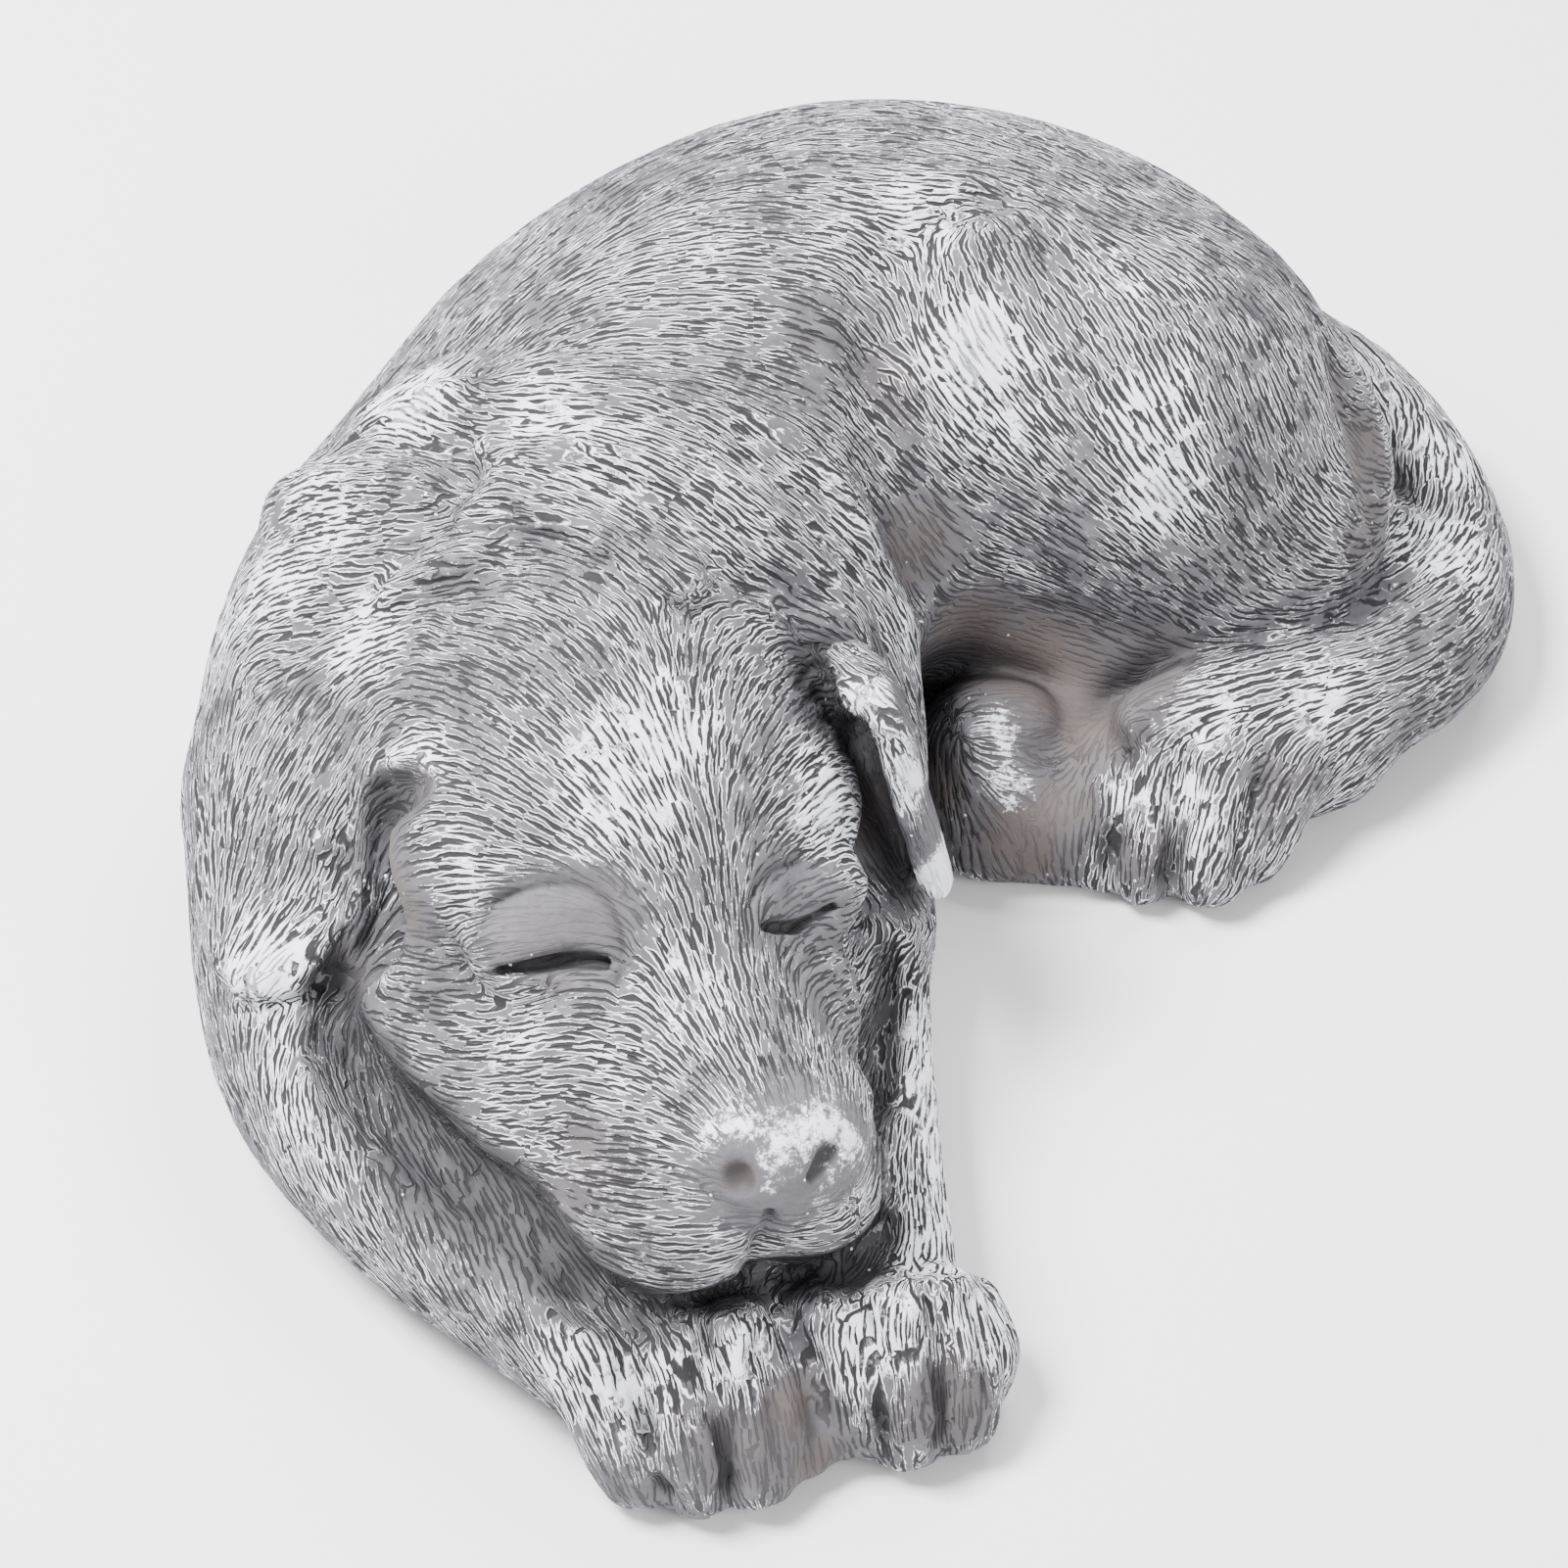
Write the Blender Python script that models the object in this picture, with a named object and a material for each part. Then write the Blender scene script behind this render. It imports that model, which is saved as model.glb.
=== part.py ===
"""Pet memorial figure: a puppy asleep, curled up with its head on its forepaws, cast in one piece.

The figure is modelled as a sculptor builds it in clay. Rounded forms (trunk, thigh, legs, toes, tail,
skull, muzzle, ears) are laid on one after another, each with its own fillet, and then the folds, the
toe clefts, the eyelids, the nostrils and the mouth are pressed in. The clay is a signed distance field:
negative inside, positive outside. A skin is stretched over it, cut flat underneath and thinned out.

Axes: the figure lies on Z = 0 with its forepaws towards -Y and the bend of its tail at +X.
Places and radii are shares of the figure's width: UNIT is one hundred-and-fifty-eighth of it.
"""

import bpy
import numpy as np

WIDTH = 0.158
CELL = 1.15
MOST_TRIANGLES = 9400

UNIT = WIDTH / 158.0
MIDDLE = np.array([2.8, 3.7, 0.0])
LOW = np.array([-82.0, -91.0, -5.0])
HIGH = np.array([87.0, 98.0, 69.0])
COARSE = 4
FAR = 1.0e3

STONE_GREY = (0.35, 0.34, 0.36, 1.0)
STONE_ROUGHNESS = 0.72


def turn(yaw, pitch, roll):
    """Rows are a head's own axes (across, forward, up) after yaw, nose-down pitch and roll, in degrees."""
    yaw, pitch, roll = np.radians([yaw, pitch, roll])
    forward = np.array([np.sin(yaw) * np.cos(pitch), -np.cos(yaw) * np.cos(pitch), -np.sin(pitch)])
    across = np.array([np.cos(yaw), np.sin(yaw), 0.0])
    up = np.cross(forward, across)
    up = up if up[2] > 0 else -up
    return np.array(
        [
            np.cos(roll) * across - np.sin(roll) * up,
            forward,
            np.cos(roll) * up + np.sin(roll) * across,
        ]
    )


HEAD_AXES = turn(yaw=22, pitch=6, roll=11)
HEAD_CENTRE = np.array([-27.2, -14.0, 36.4])


def on_head(rows):
    """Rows that begin with across, forward, up in the head's frame, as rows in the figure's."""
    rows = np.atleast_2d(np.asarray(rows, float))
    return np.hstack([HEAD_CENTRE + rows[:, :3] @ HEAD_AXES, rows[:, 3:]])


def smooth_path(points, steps):
    """Points along a Catmull-Rom curve through the rows. Further columns, such as radii, are carried along."""
    rows = np.asarray(points, float)
    padded = np.vstack([2 * rows[0] - rows[1], rows, 2 * rows[-1] - rows[-2]])
    found = []
    for before, start, end, after in zip(padded, padded[1:], padded[2:], padded[3:]):
        for share in np.arange(steps) / steps:
            found.append(
                start
                + 0.5 * (end - before) * share
                + (before - 2.5 * start + 2 * end - 0.5 * after) * share**2
                + (1.5 * start - 0.5 * before - 1.5 * end + 0.5 * after) * share**3
            )
    return np.array(found + [rows[-1]])


class Tube:
    """A limb: a round rod along a smooth path, whose rows are x, y, z and radius."""

    def __init__(self, rows, steps=4):
        self.rows = smooth_path(rows, steps)
        reach = self.rows[:, 3:4]
        self.low = (self.rows[:, :3] - reach).min(0)
        self.high = (self.rows[:, :3] + reach).max(0)

    def measure(self, points):
        """Each point's distance from the path's line, and the radius where it is nearest."""
        best = np.full(len(points), FAR)
        gaps = np.full(len(points), FAR)
        radii = np.ones(len(points))
        for start, end in zip(self.rows, self.rows[1:]):
            line = end[:3] - start[:3]
            offset = points - start[:3]
            share = np.clip(offset @ line / (line @ line), 0.0, 1.0)
            gap = offset - share[:, None] * line
            radius = start[3] + share * (end[3] - start[3])
            length = np.sqrt((gap * gap).sum(1))
            nearer = length - radius < best
            best = np.where(nearer, length - radius, best)
            gaps = np.where(nearer, length, gaps)
            radii = np.where(nearer, radius, radii)
        return gaps, radii

    def distance(self, points):
        gaps, radii = self.measure(points)
        return gaps - radii


class Ball:
    """An egg: an ellipsoid with its own axes."""

    def __init__(self, centre, radii, axes=np.eye(3)):
        self.centre = np.asarray(centre, float)
        self.radii = np.asarray(radii, float)
        self.axes = axes
        reach = np.sqrt(((self.axes * self.radii[:, None]) ** 2).sum(0))
        self.low = self.centre - reach
        self.high = self.centre + reach

    def distance(self, points):
        local = (points - self.centre) @ self.axes.T
        scaled = np.sqrt(((local / self.radii) ** 2).sum(1)) + 1e-9
        slope = np.sqrt(((local / self.radii**2) ** 2).sum(1)) + 1e-9
        return scaled * (scaled - 1.0) / slope


class Flap:
    """An ear: a strap along a path, bowed across. Rows are x, y, z, half width and outward normal."""

    def __init__(self, rows, thickness, bow, steps=4):
        self.rows = smooth_path(rows, steps)
        self.thickness = thickness
        self.bow = bow
        reach = self.rows[:, 3:4] + thickness
        self.low = (self.rows[:, :3] - reach).min(0)
        self.high = (self.rows[:, :3] + reach).max(0)

    def distance(self, points):
        nearest = np.full(len(points), FAR)
        for start, end in zip(self.rows, self.rows[1:]):
            line = end[:3] - start[:3]
            offset = points - start[:3]
            share = np.clip(offset @ line / (line @ line), 0.0, 1.0)
            gap = offset - share[:, None] * line
            row = start + share[:, None] * (end - start)
            along = line / np.linalg.norm(line)
            normal = row[:, 4:7] - (row[:, 4:7] @ along)[:, None] * along
            normal /= np.linalg.norm(normal, axis=1)[:, None]
            across = (gap * np.cross(along, normal)).sum(1)
            depth = (gap * normal).sum(1) + self.bow * across**2
            edge = np.maximum(np.abs(across) - row[:, 3], 0.0)
            beyond = gap @ along
            reach = np.sqrt(edge**2 + depth**2 + beyond**2)
            nearest = np.minimum(nearest, reach - self.thickness / 2)
        return nearest


class Clay:
    """The distance field at a set of points, in units, built up form by form."""

    def __init__(self, points):
        self.points = points
        self.distance = np.full(len(points), FAR)

    def near(self, form, margin):
        """Which points lie inside the form's box grown by a margin."""
        inside = (self.points > form.low - margin) & (self.points < form.high + margin)
        return np.flatnonzero(inside.all(axis=1))

    def join(self, at, new, fillet):
        """The lower of the field and a new one, rounded where they meet."""
        mine = self.distance[at]
        overlap = np.maximum(fillet - np.abs(mine - new), 0.0) / fillet
        self.distance[at] = np.minimum(mine, new) - overlap**2 * fillet / 4

    def add(self, form, fillet):
        """Lays a form on, with a fillet where it meets what is there."""
        at = self.near(form, fillet + 8.0)
        self.join(at, form.distance(self.points[at]), fillet)

    def cut(self, form, fillet):
        """Takes a form away, with its rim rounded by the fillet."""
        at = self.near(form, fillet + 8.0)
        mine = self.distance[at]
        new = -form.distance(self.points[at])
        overlap = np.maximum(fillet - np.abs(mine - new), 0.0) / fillet
        self.distance[at] = np.maximum(mine, new) + overlap**2 * fillet / 4

    def press(self, rows, depth):
        """Presses a soft line in. Rows are x, y, z and half width, and the depth follows the width."""
        line = Tube(rows)
        at = self.near(line, 0.5)
        gaps, radii = line.measure(self.points[at])
        share = radii / line.rows[:, 3].max()
        self.distance[at] += depth * share * np.maximum(1.0 - (gaps / radii) ** 2, 0.0) ** 2


def trunk(clay):
    """The curled back, the chest and the skin that falls from the neck to the right foreleg."""
    spine = [(-33, 26, 24, 32), (-20, 43.5, 27, 35), (1, 57, 28.5, 35), (24, 56.5, 28, 31),
             (42, 49, 22, 24)]
    clay.add(Tube(spine, steps=10), 8)
    clay.add(Ball((-37, 9, 20), (37.5, 40, 32)), 14)
    clay.add(Tube([(-22, -8, 30, 22), (-30, 8, 32, 27), (-28, 24, 30, 30)]), 8)
    shoulder = [(-25.3, 34.4, 36, 15), (-9.3, 23.3, 33, 13), (-3.7, 12.7, 28, 12), (-2, 1.6, 22, 11.5)]
    clay.add(Tube(shoulder + [(-0.8, -11.4, 15, 10)]), 6)


def belly(clay):
    """What fills the hollow between the flank, the hind feet and the shin."""
    clay.add(Tube([(14.2, 39.4, 10, 12), (28.1, 34.5, 12, 13), (45.8, 37.6, 12, 12)]), 6)
    clay.add(Tube([(16.1, 11.7, 4, 7), (26.4, 10.4, 5, 8), (36.9, 12.8, 5, 8)]), 4)
    clay.add(Ball((26.1, 19.6, 6), (8, 8, 9)), 4)
    clay.add(Tube([(31.7, 37.6, 12, 10), (48, 35.4, 13, 11), (62.9, 45.7, 11, 9)]), 3)


def thigh(clay):
    """The haunch and the rounded knee in front of it."""
    clay.add(Ball((31.5, 50, 33), (28, 26.5, 25.5)), 2)
    clay.add(Ball((15.9, 49.6, 35), (11.5, 14, 16)), 6)


def tail(clay):
    """From the rump round the outside and back over the hind foot."""
    root = [(51.5, 66.4, 22, 10.5), (60.8, 67.7, 15, 9.5), (67.8, 63.5, 11, 8.6), (72.1, 55.6, 9, 8.2)]
    bend = [(73.4, 45.2, 8.5, 8.3), (70.1, 34.8, 9, 8.8), (61.9, 26.4, 10, 8.6), (52.6, 22.6, 13, 7.2)]
    tip = [(44, 20.4, 15.5, 5.4), (36.4, 17.1, 16.5, 3.8), (34, 15.2, 17, 2.6)]
    clay.add(Tube(root + bend + tip), 2)


def hind_feet(clay):
    """The foot under the tail with its toes, and the knuckled one beside it."""
    clay.add(Tube([(55.7, 21.7, 8, 10), (45, 17.4, 8.5, 10), (37.4, 15.6, 8, 8.5)]), 3)
    clay.add(Tube([(31.5, 16.1, 11, 3.6), (30.1, 7.5, 6, 4), (30.4, 5.2, 3.8, 3.8)]), 1.5)
    clay.add(Tube([(37.1, 15.1, 13, 4.2), (35.3, 6.6, 8, 4.8), (35.1, 3.5, 4.4, 4.4)]), 1.5)
    clay.add(Tube([(44.8, 14.4, 13, 5), (42.4, 6.6, 8, 5.8), (42.4, 3.4, 5.2, 5.2)]), 1.5)
    clay.add(Tube([(51.5, 13.8, 11, 5), (49, 9.7, 7, 5.4), (47.2, 6.6, 5, 5)]), 1.5)
    clay.press([(32.9, 11.9, 15, 1.6), (31.6, 5.9, 11.6, 2.2), (30.4, 1.3, 4.5, 2.2)], 1.6)
    clay.press([(39.6, 11.6, 16.3, 1.6), (38.7, 5.2, 12.4, 2.6), (37.9, -0.2, 4.6, 2.4)], 1.8)
    clay.press([(48.2, 8.7, 13.6, 1.6), (46.4, 3.5, 10.9, 2), (45.5, -0.4, 6.7, 1.6)], 1.2)
    clay.add(Ball((16, 16.3, 9), (8, 9, 10)), 3)
    clay.add(Ball((19.1, 17.8, 14), (6.4, 5, 5)), 1.2)
    clay.add(Ball((20, 10.9, 9.5), (6, 4.8, 5)), 1)
    clay.add(Ball((18, 6.8, 4), (7.5, 4, 4)), 1)


def forelegs(clay):
    """Both forelegs, their paws with four toes each, and the mass that fills the space under the head."""
    left = [(-61.2, 0.5, 18, 14.5), (-59.3, -21.2, 14, 13.8), (-55.2, -34.9, 13, 13)]
    clay.add(Tube(left + [(-45.5, -47.3, 12, 12.4), (-34.1, -57.7, 12, 11.8), (-26.4, -65, 12, 11.2)]), 5)
    clay.add(Tube([(-0.6, -11.9, 12, 9.8), (0, -26.5, 11, 9.6), (0.8, -42.5, 10.5, 9.6),
                   (2, -56.9, 10.5, 9.6)]), 5)
    clay.add(Ball((-17.6, -72.7, 7.5), (11.4, 11.5, 7.8)), 4)
    clay.add(Ball((4.8, -68, 7.5), (10.4, 10.5, 8.2)), 4)
    for toe in (
        [(-27.1, -70.8, 15, 5.2), (-24.7, -75.9, 9, 5.4), (-22.6, -79, 4.6, 4.8)],
        [(-19.6, -70.2, 16, 5), (-17.3, -76.5, 9.5, 5.4), (-16, -80.2, 4.6, 4.8)],
        [(-12.8, -70.2, 16, 4.6), (-10.8, -75.8, 9.5, 4.9), (-9.9, -79.3, 4.6, 4.6)],
        [(-7.9, -68.2, 13, 4), (-6, -74.6, 8.5, 4.2), (-5.2, -76.1, 4.4, 4)],
        [(-2.3, -67.6, 15, 4), (-1, -71.5, 9.5, 4.5), (-0.3, -73.1, 4.4, 4.3)],
        [(4.7, -67.1, 16, 4.9), (5.6, -72.1, 9.5, 5.1), (6.1, -74.2, 4.6, 4.8)],
        [(10, -65.1, 14, 4.7), (11.5, -69.6, 9, 5), (11.7, -72.3, 4.6, 4.6)],
        [(12.8, -63, 10, 4.2), (14.1, -66.1, 8, 4.4), (13.7, -67.2, 4.6, 4.3)],
    ):
        clay.add(Tube(toe), 1.2)
    clay.add(Tube([(-33.1, -37, 14, 13), (-18.8, -52.1, 11, 11), (-8.1, -57.8, 10, 9.5)]), 4)
    clay.add(Tube([(-30, -14, 6, 24), (-28, -34, 6, 20), (-15, -52, 5, 13), (-10, -64, 4, 9)]), 4)


def neck_rolls(clay):
    """The loose skin behind the head, gathered towards one point on the left."""
    outer = [(-51.9, 30.2, 48.6, 5), (-46.8, 29.6, 49.9, 7), (-40.8, 28.1, 52.2, 8), (-35.2, 26.6, 54.2, 8)]
    clay.add(Tube(outer + [(-26.8, 25.2, 55, 8), (-17.7, 24.8, 53.3, 8), (-10.1, 24, 49.4, 8),
                           (-3.7, 20.3, 43.2, 7)]), 2.5)
    middle = [(-38, 16.1, 57.9, 5), (-31.2, 17.3, 55.8, 8), (-26.4, 19.9, 55.3, 9), (-21.4, 20.1, 54.5, 9)]
    clay.add(Tube(middle + [(-16.2, 17, 51.4, 9), (-11.4, 13.7, 46.8, 9), (-7.2, 10.9, 40.6, 9),
                            (-3.4, 4.2, 36.2, 7)]), 1.6)
    clay.add(Tube([(-60, 25.2, 40, 7), (-53.8, 23.4, 45.1, 8), (-48.4, 19.9, 50.5, 7),
                   (-43.3, 14.1, 56.3, 4)]), 1.6)
    inner = [(-40, 11.9, 58, 4), (-35.1, 12.7, 58.2, 5.5), (-31.2, 10.7, 56.9, 6), (-27.2, 7.3, 56, 6)]
    clay.add(Tube(inner + [(-23.2, 4.2, 55.1, 5.5), (-18.4, 2.3, 54.3, 4)]), 1.4)
    clay.add(Tube([(-48.5, 3.6, 51.2, 4), (-44.5, 3.8, 52.8, 4.5), (-40.6, 4.3, 55.1, 4)]), 1.2)


def head(clay):
    """Skull, cheeks, muzzle, brows, lids, chin, lips and nose, modelled apart, then laid on the neck."""
    skull = Clay(clay.points)

    def ball(centre, radii, fillet):
        skull.add(Ball(on_head(centre)[0], radii, HEAD_AXES), fillet)

    ball((0, -2, 0), (27, 30, 21), 3)
    skull.add(Tube(on_head([(0, 14, -3, 15), (0, 28, -3, 13.5), (-0.5, 38, -3, 13.5), (0, 43, -3, 13)])), 8)
    ball((14, 9, -13), (13, 25, 12), 8)
    ball((-15, 11, -15.5), (16.5, 27, 14), 8)
    ball((-12.5, 31, -14), (14, 19, 11), 5)
    ball((-9.5, 43, -8), (12, 12.5, 12), 4)
    ball((7.5, 43, -6.5), (9.5, 12.5, 11.5), 3)
    ball((-13, 29, -3), (9, 10, 8.5), 5)
    ball((12, 28, -3), (7.5, 9, 8), 5)
    for side in (-1, 1):
        ball((side * 18, 7, 6), (8, 8, 6), 6)
        ball((side * 15.2, 18.3, 4.4), (8.2, 6.6, 5.6), 1.5)
    ball((-3, 45.5, -16.5), (11, 10.5, 5.5), 1.2)
    ball((-7.5, 49.5, -5.5), (8.5, 7.5, 7.5), 2)
    ball((6, 49.5, -4), (8, 7.5, 7), 2)
    ball((1.2, 48.5, 3.2), (9.4, 7.8, 6.4), 2.5)
    at = np.flatnonzero(skull.distance < 20)
    clay.join(at, skull.distance[at], 2)


def ears(clay):
    """The left ear spread over the shoulder with a hollow behind its rim, the right one hanging edge on."""
    left = [(-46.3, -10.8, 51.8, 8, -0.59, -0.21, 0.75), (-55.4, -7.6, 43.5, 9, -0.58, -0.28, 0.73)]
    left += [(-63.7, -12, 35.7, 8.8, -0.54, -0.35, 0.72), (-64, -19.9, 30.1, 8, -0.46, -0.36, 0.77)]
    left += [(-62.8, -25.5, 28.4, 6.8, -0.36, -0.3, 0.85), (-61.9, -29.1, 27.9, 4.5, -0.29, -0.24, 0.91)]
    clay.add(Flap(left + [(-61.4, -30.6, 27.7, 2, -0.25, -0.2, 0.94)], thickness=4, bow=0.012), 1)
    right = [(0.2, -4.2, 47.5, 4), (3.2, -4, 46, 6), (5, -6.4, 43, 7), (6.4, -9.3, 37, 6.5)]
    right += [(8.6, -12.3, 30, 5.5), (10.1, -16, 26, 3)]
    clay.add(Flap([row + (0.9, 0.3, 0.3) for row in right], thickness=3.8, bow=0.02), 2)
    rim = [(-44.9, -21.1, 51, 2.6), (-49.1, -17.7, 47.6, 3), (-53.5, -15.3, 41.2, 3),
           (-56.3, -17.3, 37.1, 3)]
    rim += [(-56.6, -20.5, 33.2, 3), (-56.5, -24.1, 30.9, 3), (-57.8, -27.9, 29.4, 2.8),
            (-60.2, -30.4, 28.5, 2.6)]
    clay.add(Tube(rim), 1.2)
    hollow = [(-46.7, -23.5, 51.2, 2), (-49.1, -22.3, 48, 3), (-50.3, -22.7, 44.4, 3.6),
              (-50.3, -24.4, 40.9, 4)]
    clay.cut(Tube(hollow + [(-49.6, -27.5, 38, 4.2), (-51, -30.3, 34.3, 4), (-54.5, -32.1, 29.7, 3)]), 1.2)


def jaw_gaps(clay):
    """The gaps between the jaw and the left foreleg and between the right cheek and the right foreleg."""
    left = [(-56.6, -32.2, 27.2, 2.2), (-55, -38.3, 26.3, 3.4), (-51.5, -44.7, 25.3, 4),
            (-46.2, -50.7, 25, 4)]
    left += [(-41.6, -55.8, 25.2, 3.8), (-36.6, -60.4, 26.3, 3.6), (-32.7, -64.4, 25.7, 3.4),
             (-28.9, -68, 23.2, 3)]
    clay.cut(Tube(left + [(-24.3, -70.6, 21.9, 2.6), (-19.9, -71.7, 21.2, 2)]), 1.5)
    right = [(4.9, -21.8, 20.1, 1.6), (4.8, -28.8, 19.5, 2.2), (3.4, -34.6, 20, 2.6), (2.9, -40, 20.1, 2.6)]
    clay.cut(Tube(right + [(4, -50.8, 27.4, 2.4), (4.4, -56.1, 25.7, 2.2), (3.6, -58.3, 20.2, 2.2),
                           (1.3, -62.3, 18.7, 2)]), 1.2)


def folds(clay):
    """The creases between the neck's rolls, along the flank and beside the root of the tail."""
    behind_head = [(-50.7, 0.3, 52.3, 2.5), (-44.1, -0.1, 55.6, 3.5), (-37.4, 1.9, 57.9, 4),
                   (-32, 3.6, 59.1, 4)]
    behind_head += [(-24.1, 1.7, 60, 3.5), (-15.6, 2.2, 57.2, 3.5), (-9.2, 5.7, 51, 3.5),
                    (-3.2, 6.7, 47.7, 3)]
    clay.press(behind_head, 1.2)
    clay.press([(-42, 11.7, 61.5, 4), (-34.5, 10.5, 63.3, 4.5), (-28.1, 9.2, 62.4, 4.5),
                (-18.8, 3.7, 58.5, 3)], 1.6)
    below_outer = [(-42.1, 13.2, 60.2, 4), (-39.4, 16.4, 62.7, 4.5), (-34.6, 19, 63.1, 5),
                   (-27.6, 19.1, 64.3, 5)]
    below_outer += [(-18.9, 19.5, 63.2, 5.5), (-11.4, 19.1, 58.9, 5.5), (-4.3, 17.4, 52.2, 5.5),
                    (1.2, 13.6, 43.7, 4)]
    clay.press(below_outer, 1.7)
    clay.press([(-59.8, 27.4, 49.3, 3), (-52.5, 23, 55.6, 4.5), (-46.8, 21, 58.2, 5),
                (-42.7, 14.9, 59.6, 5)], 2)
    clay.press([(-42.3, 14.9, 58, 4), (-45.9, 10.3, 56.9, 4), (-54.7, 4.8, 50.2, 4.5),
                (-61.5, 4, 44.5, 4)], 1.4)
    clay.press([(-40.2, 4, 59, 3), (-37.5, 4.2, 57.8, 4), (-34.9, 4.8, 58.1, 3)], 1.4)
    flank = [(20, 57.6, 61.3, 2), (14.3, 54.3, 62.1, 3.5), (8.2, 49.2, 62, 5), (5.2, 43.6, 60.6, 6.5)]
    flank += [(4.5, 38.2, 58.2, 7), (4.7, 32.5, 54.3, 7.5), (5.8, 28.7, 50.2, 7.5), (7.4, 24.6, 43.2, 7),
              (9.3, 21.5, 33.3, 5)]
    clay.press(flank, 3.8)
    clay.press([(23.2, 48, 59.2, 4), (25.9, 39.9, 56.1, 6), (28, 31.2, 50.7, 6),
                (30.9, 25.8, 43.5, 4)], 0.9)
    clay.press([(53.6, 54.4, 48.1, 3), (58.4, 47.8, 40.5, 5), (60.7, 43.3, 35.9, 5),
                (62.5, 39.7, 30.3, 5)], 1.6)


def toe_clefts(clay):
    """The grooves between the toes of the forepaws, and the deeper one between the paws."""
    clay.press([(-24.4, -72.6, 20, 1.6), (-22.6, -76.6, 15.4, 2.6), (-19.2, -84, 5.6, 2.2)], 1.7)
    clay.press([(-15.7, -70.9, 19.7, 1.6), (-14, -77.8, 14.5, 2.4), (-12.9, -83.8, 4.5, 2)], 1.9)
    clay.press([(-9.9, -71.8, 19.3, 1.4), (-7.8, -77.8, 12.9, 2.2), (-6.8, -82.3, 6.4, 1.8)], 1.7)
    clay.press([(-6.4, -69.8, 16.4, 1.6), (-3.9, -74.5, 12.9, 2.8), (-3.4, -79.2, 6.5, 2.8)], 2.2)
    clay.press([(1.7, -68.7, 19.5, 1.4), (3.1, -75.1, 13.8, 2.2), (3.5, -78.5, 6.2, 2)], 1.9)
    clay.press([(8.6, -66.7, 19, 1.6), (9.6, -72.2, 14.5, 2.4), (9.4, -77.8, 5, 1.8)], 1.7)
    clay.press([(13, -66.4, 17.3, 1.4), (14.3, -69.7, 14.1, 2), (14.7, -73.3, 10.4, 1.6)], 1.5)


def face_lines(clay):
    """The closed eyes with the crease above each lid, the nostrils, the nose pad's edge and the mouth."""
    clay.press([(-37.3, -42.9, 43.7, 0.9), (-35, -43, 44.3, 1.3), (-29.2, -41.5, 44.2, 1.4),
                (-26, -41.8, 44.1, 1.1)], 1.5)
    clay.press([(-9.1, -35.6, 42.9, 0.8), (-7.1, -34.3, 40.9, 1.2), (-4.9, -32.3, 38.8, 1.3),
                (-1.5, -29.4, 38.1, 0.9)], 1.2)
    left_lid = [(-40.3, -38.9, 44.7, 1), (-38.2, -36.9, 47.2, 1.5), (-34, -35.6, 48.9, 1.8),
                (-29, -35.5, 49.4, 1.8)]
    clay.press(left_lid + [(-25.7, -37, 48.4, 1.6), (-24.2, -39.9, 46, 1.5),
                           (-24.6, -43.5, 43.2, 1.1)], 0.9)
    clay.press([(-10.6, -34.5, 44.7, 1), (-8.9, -30.6, 45.1, 1.5), (-5.5, -26.8, 42.7, 1.6),
                (-2.2, -25.8, 40.5, 1.4)], 0.8)
    clay.press([(-11.8, -65, 37.7, 2.1), (-11.7, -65.3, 37.3, 2.1)], 1.6)
    clay.press([(-1.6, -61.3, 37.7, 1.3), (-2.4, -62.5, 37.5, 1.7), (-3.8, -64.4, 36.7, 1.1)], 1.9)
    pad = [(-15, -65, 36, 1), (-13.4, -66.4, 34.1, 1.5), (-10.9, -66.6, 33.1, 1.8),
           (-8.4, -66.5, 32.9, 1.8)]
    clay.press(pad + [(-5.5, -65.9, 34.5, 1.6), (-1.9, -63.9, 34.9, 1.4), (1, -60.6, 33.8, 1)], 1)
    clay.press([(-8.5, -65.8, 32.6, 1.4), (-9.1, -66.5, 29, 2), (-10.3, -66.3, 23.6, 2.2)], 1.9)
    lips = [(0.2, -61.2, 19.9, 1), (-4.5, -63.1, 17.8, 1.4), (-7.5, -63.5, 17.9, 1.5),
            (-10.3, -64.8, 21.5, 1.6)]
    clay.press(lips + [(-12.2, -64.7, 18.8, 1.9), (-16.4, -67.5, 19.9, 1.8),
                       (-19.5, -69.3, 21.4, 1.2)], 1.8)


def puppy(points):
    """The whole figure's distance field at the points, flat below Z = 0."""
    clay = Clay(points)
    for lay_on in (trunk, belly, thigh, tail, hind_feet, forelegs, neck_rolls, head):
        lay_on(clay)
    for finish in (folds, ears, jaw_gaps, toe_clefts, face_lines):
        finish(clay)
    return np.maximum(clay.distance, -points[:, 2])


def sample(field):
    """The field on a grid over the figure's box: rough everywhere, exact near the skin."""
    count = np.ceil((HIGH - LOW) / CELL / COARSE).astype(int) * COARSE + 1
    axes = [low + CELL * np.arange(number) for low, number in zip(LOW, count)]
    coarse = np.stack(np.meshgrid(*[axis[::COARSE] for axis in axes], indexing="ij"), -1)
    rough = field(coarse.reshape(-1, 3)).reshape(coarse.shape[:3])
    nearest = [np.minimum((np.arange(number) + COARSE // 2) // COARSE, (number - 1) // COARSE)
               for number in count]
    values = rough[np.ix_(*nearest)]
    close = np.argwhere(np.abs(values) < 1.4 * COARSE * CELL)
    values[tuple(close.T)] = field(LOW + CELL * close)
    return values


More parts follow.
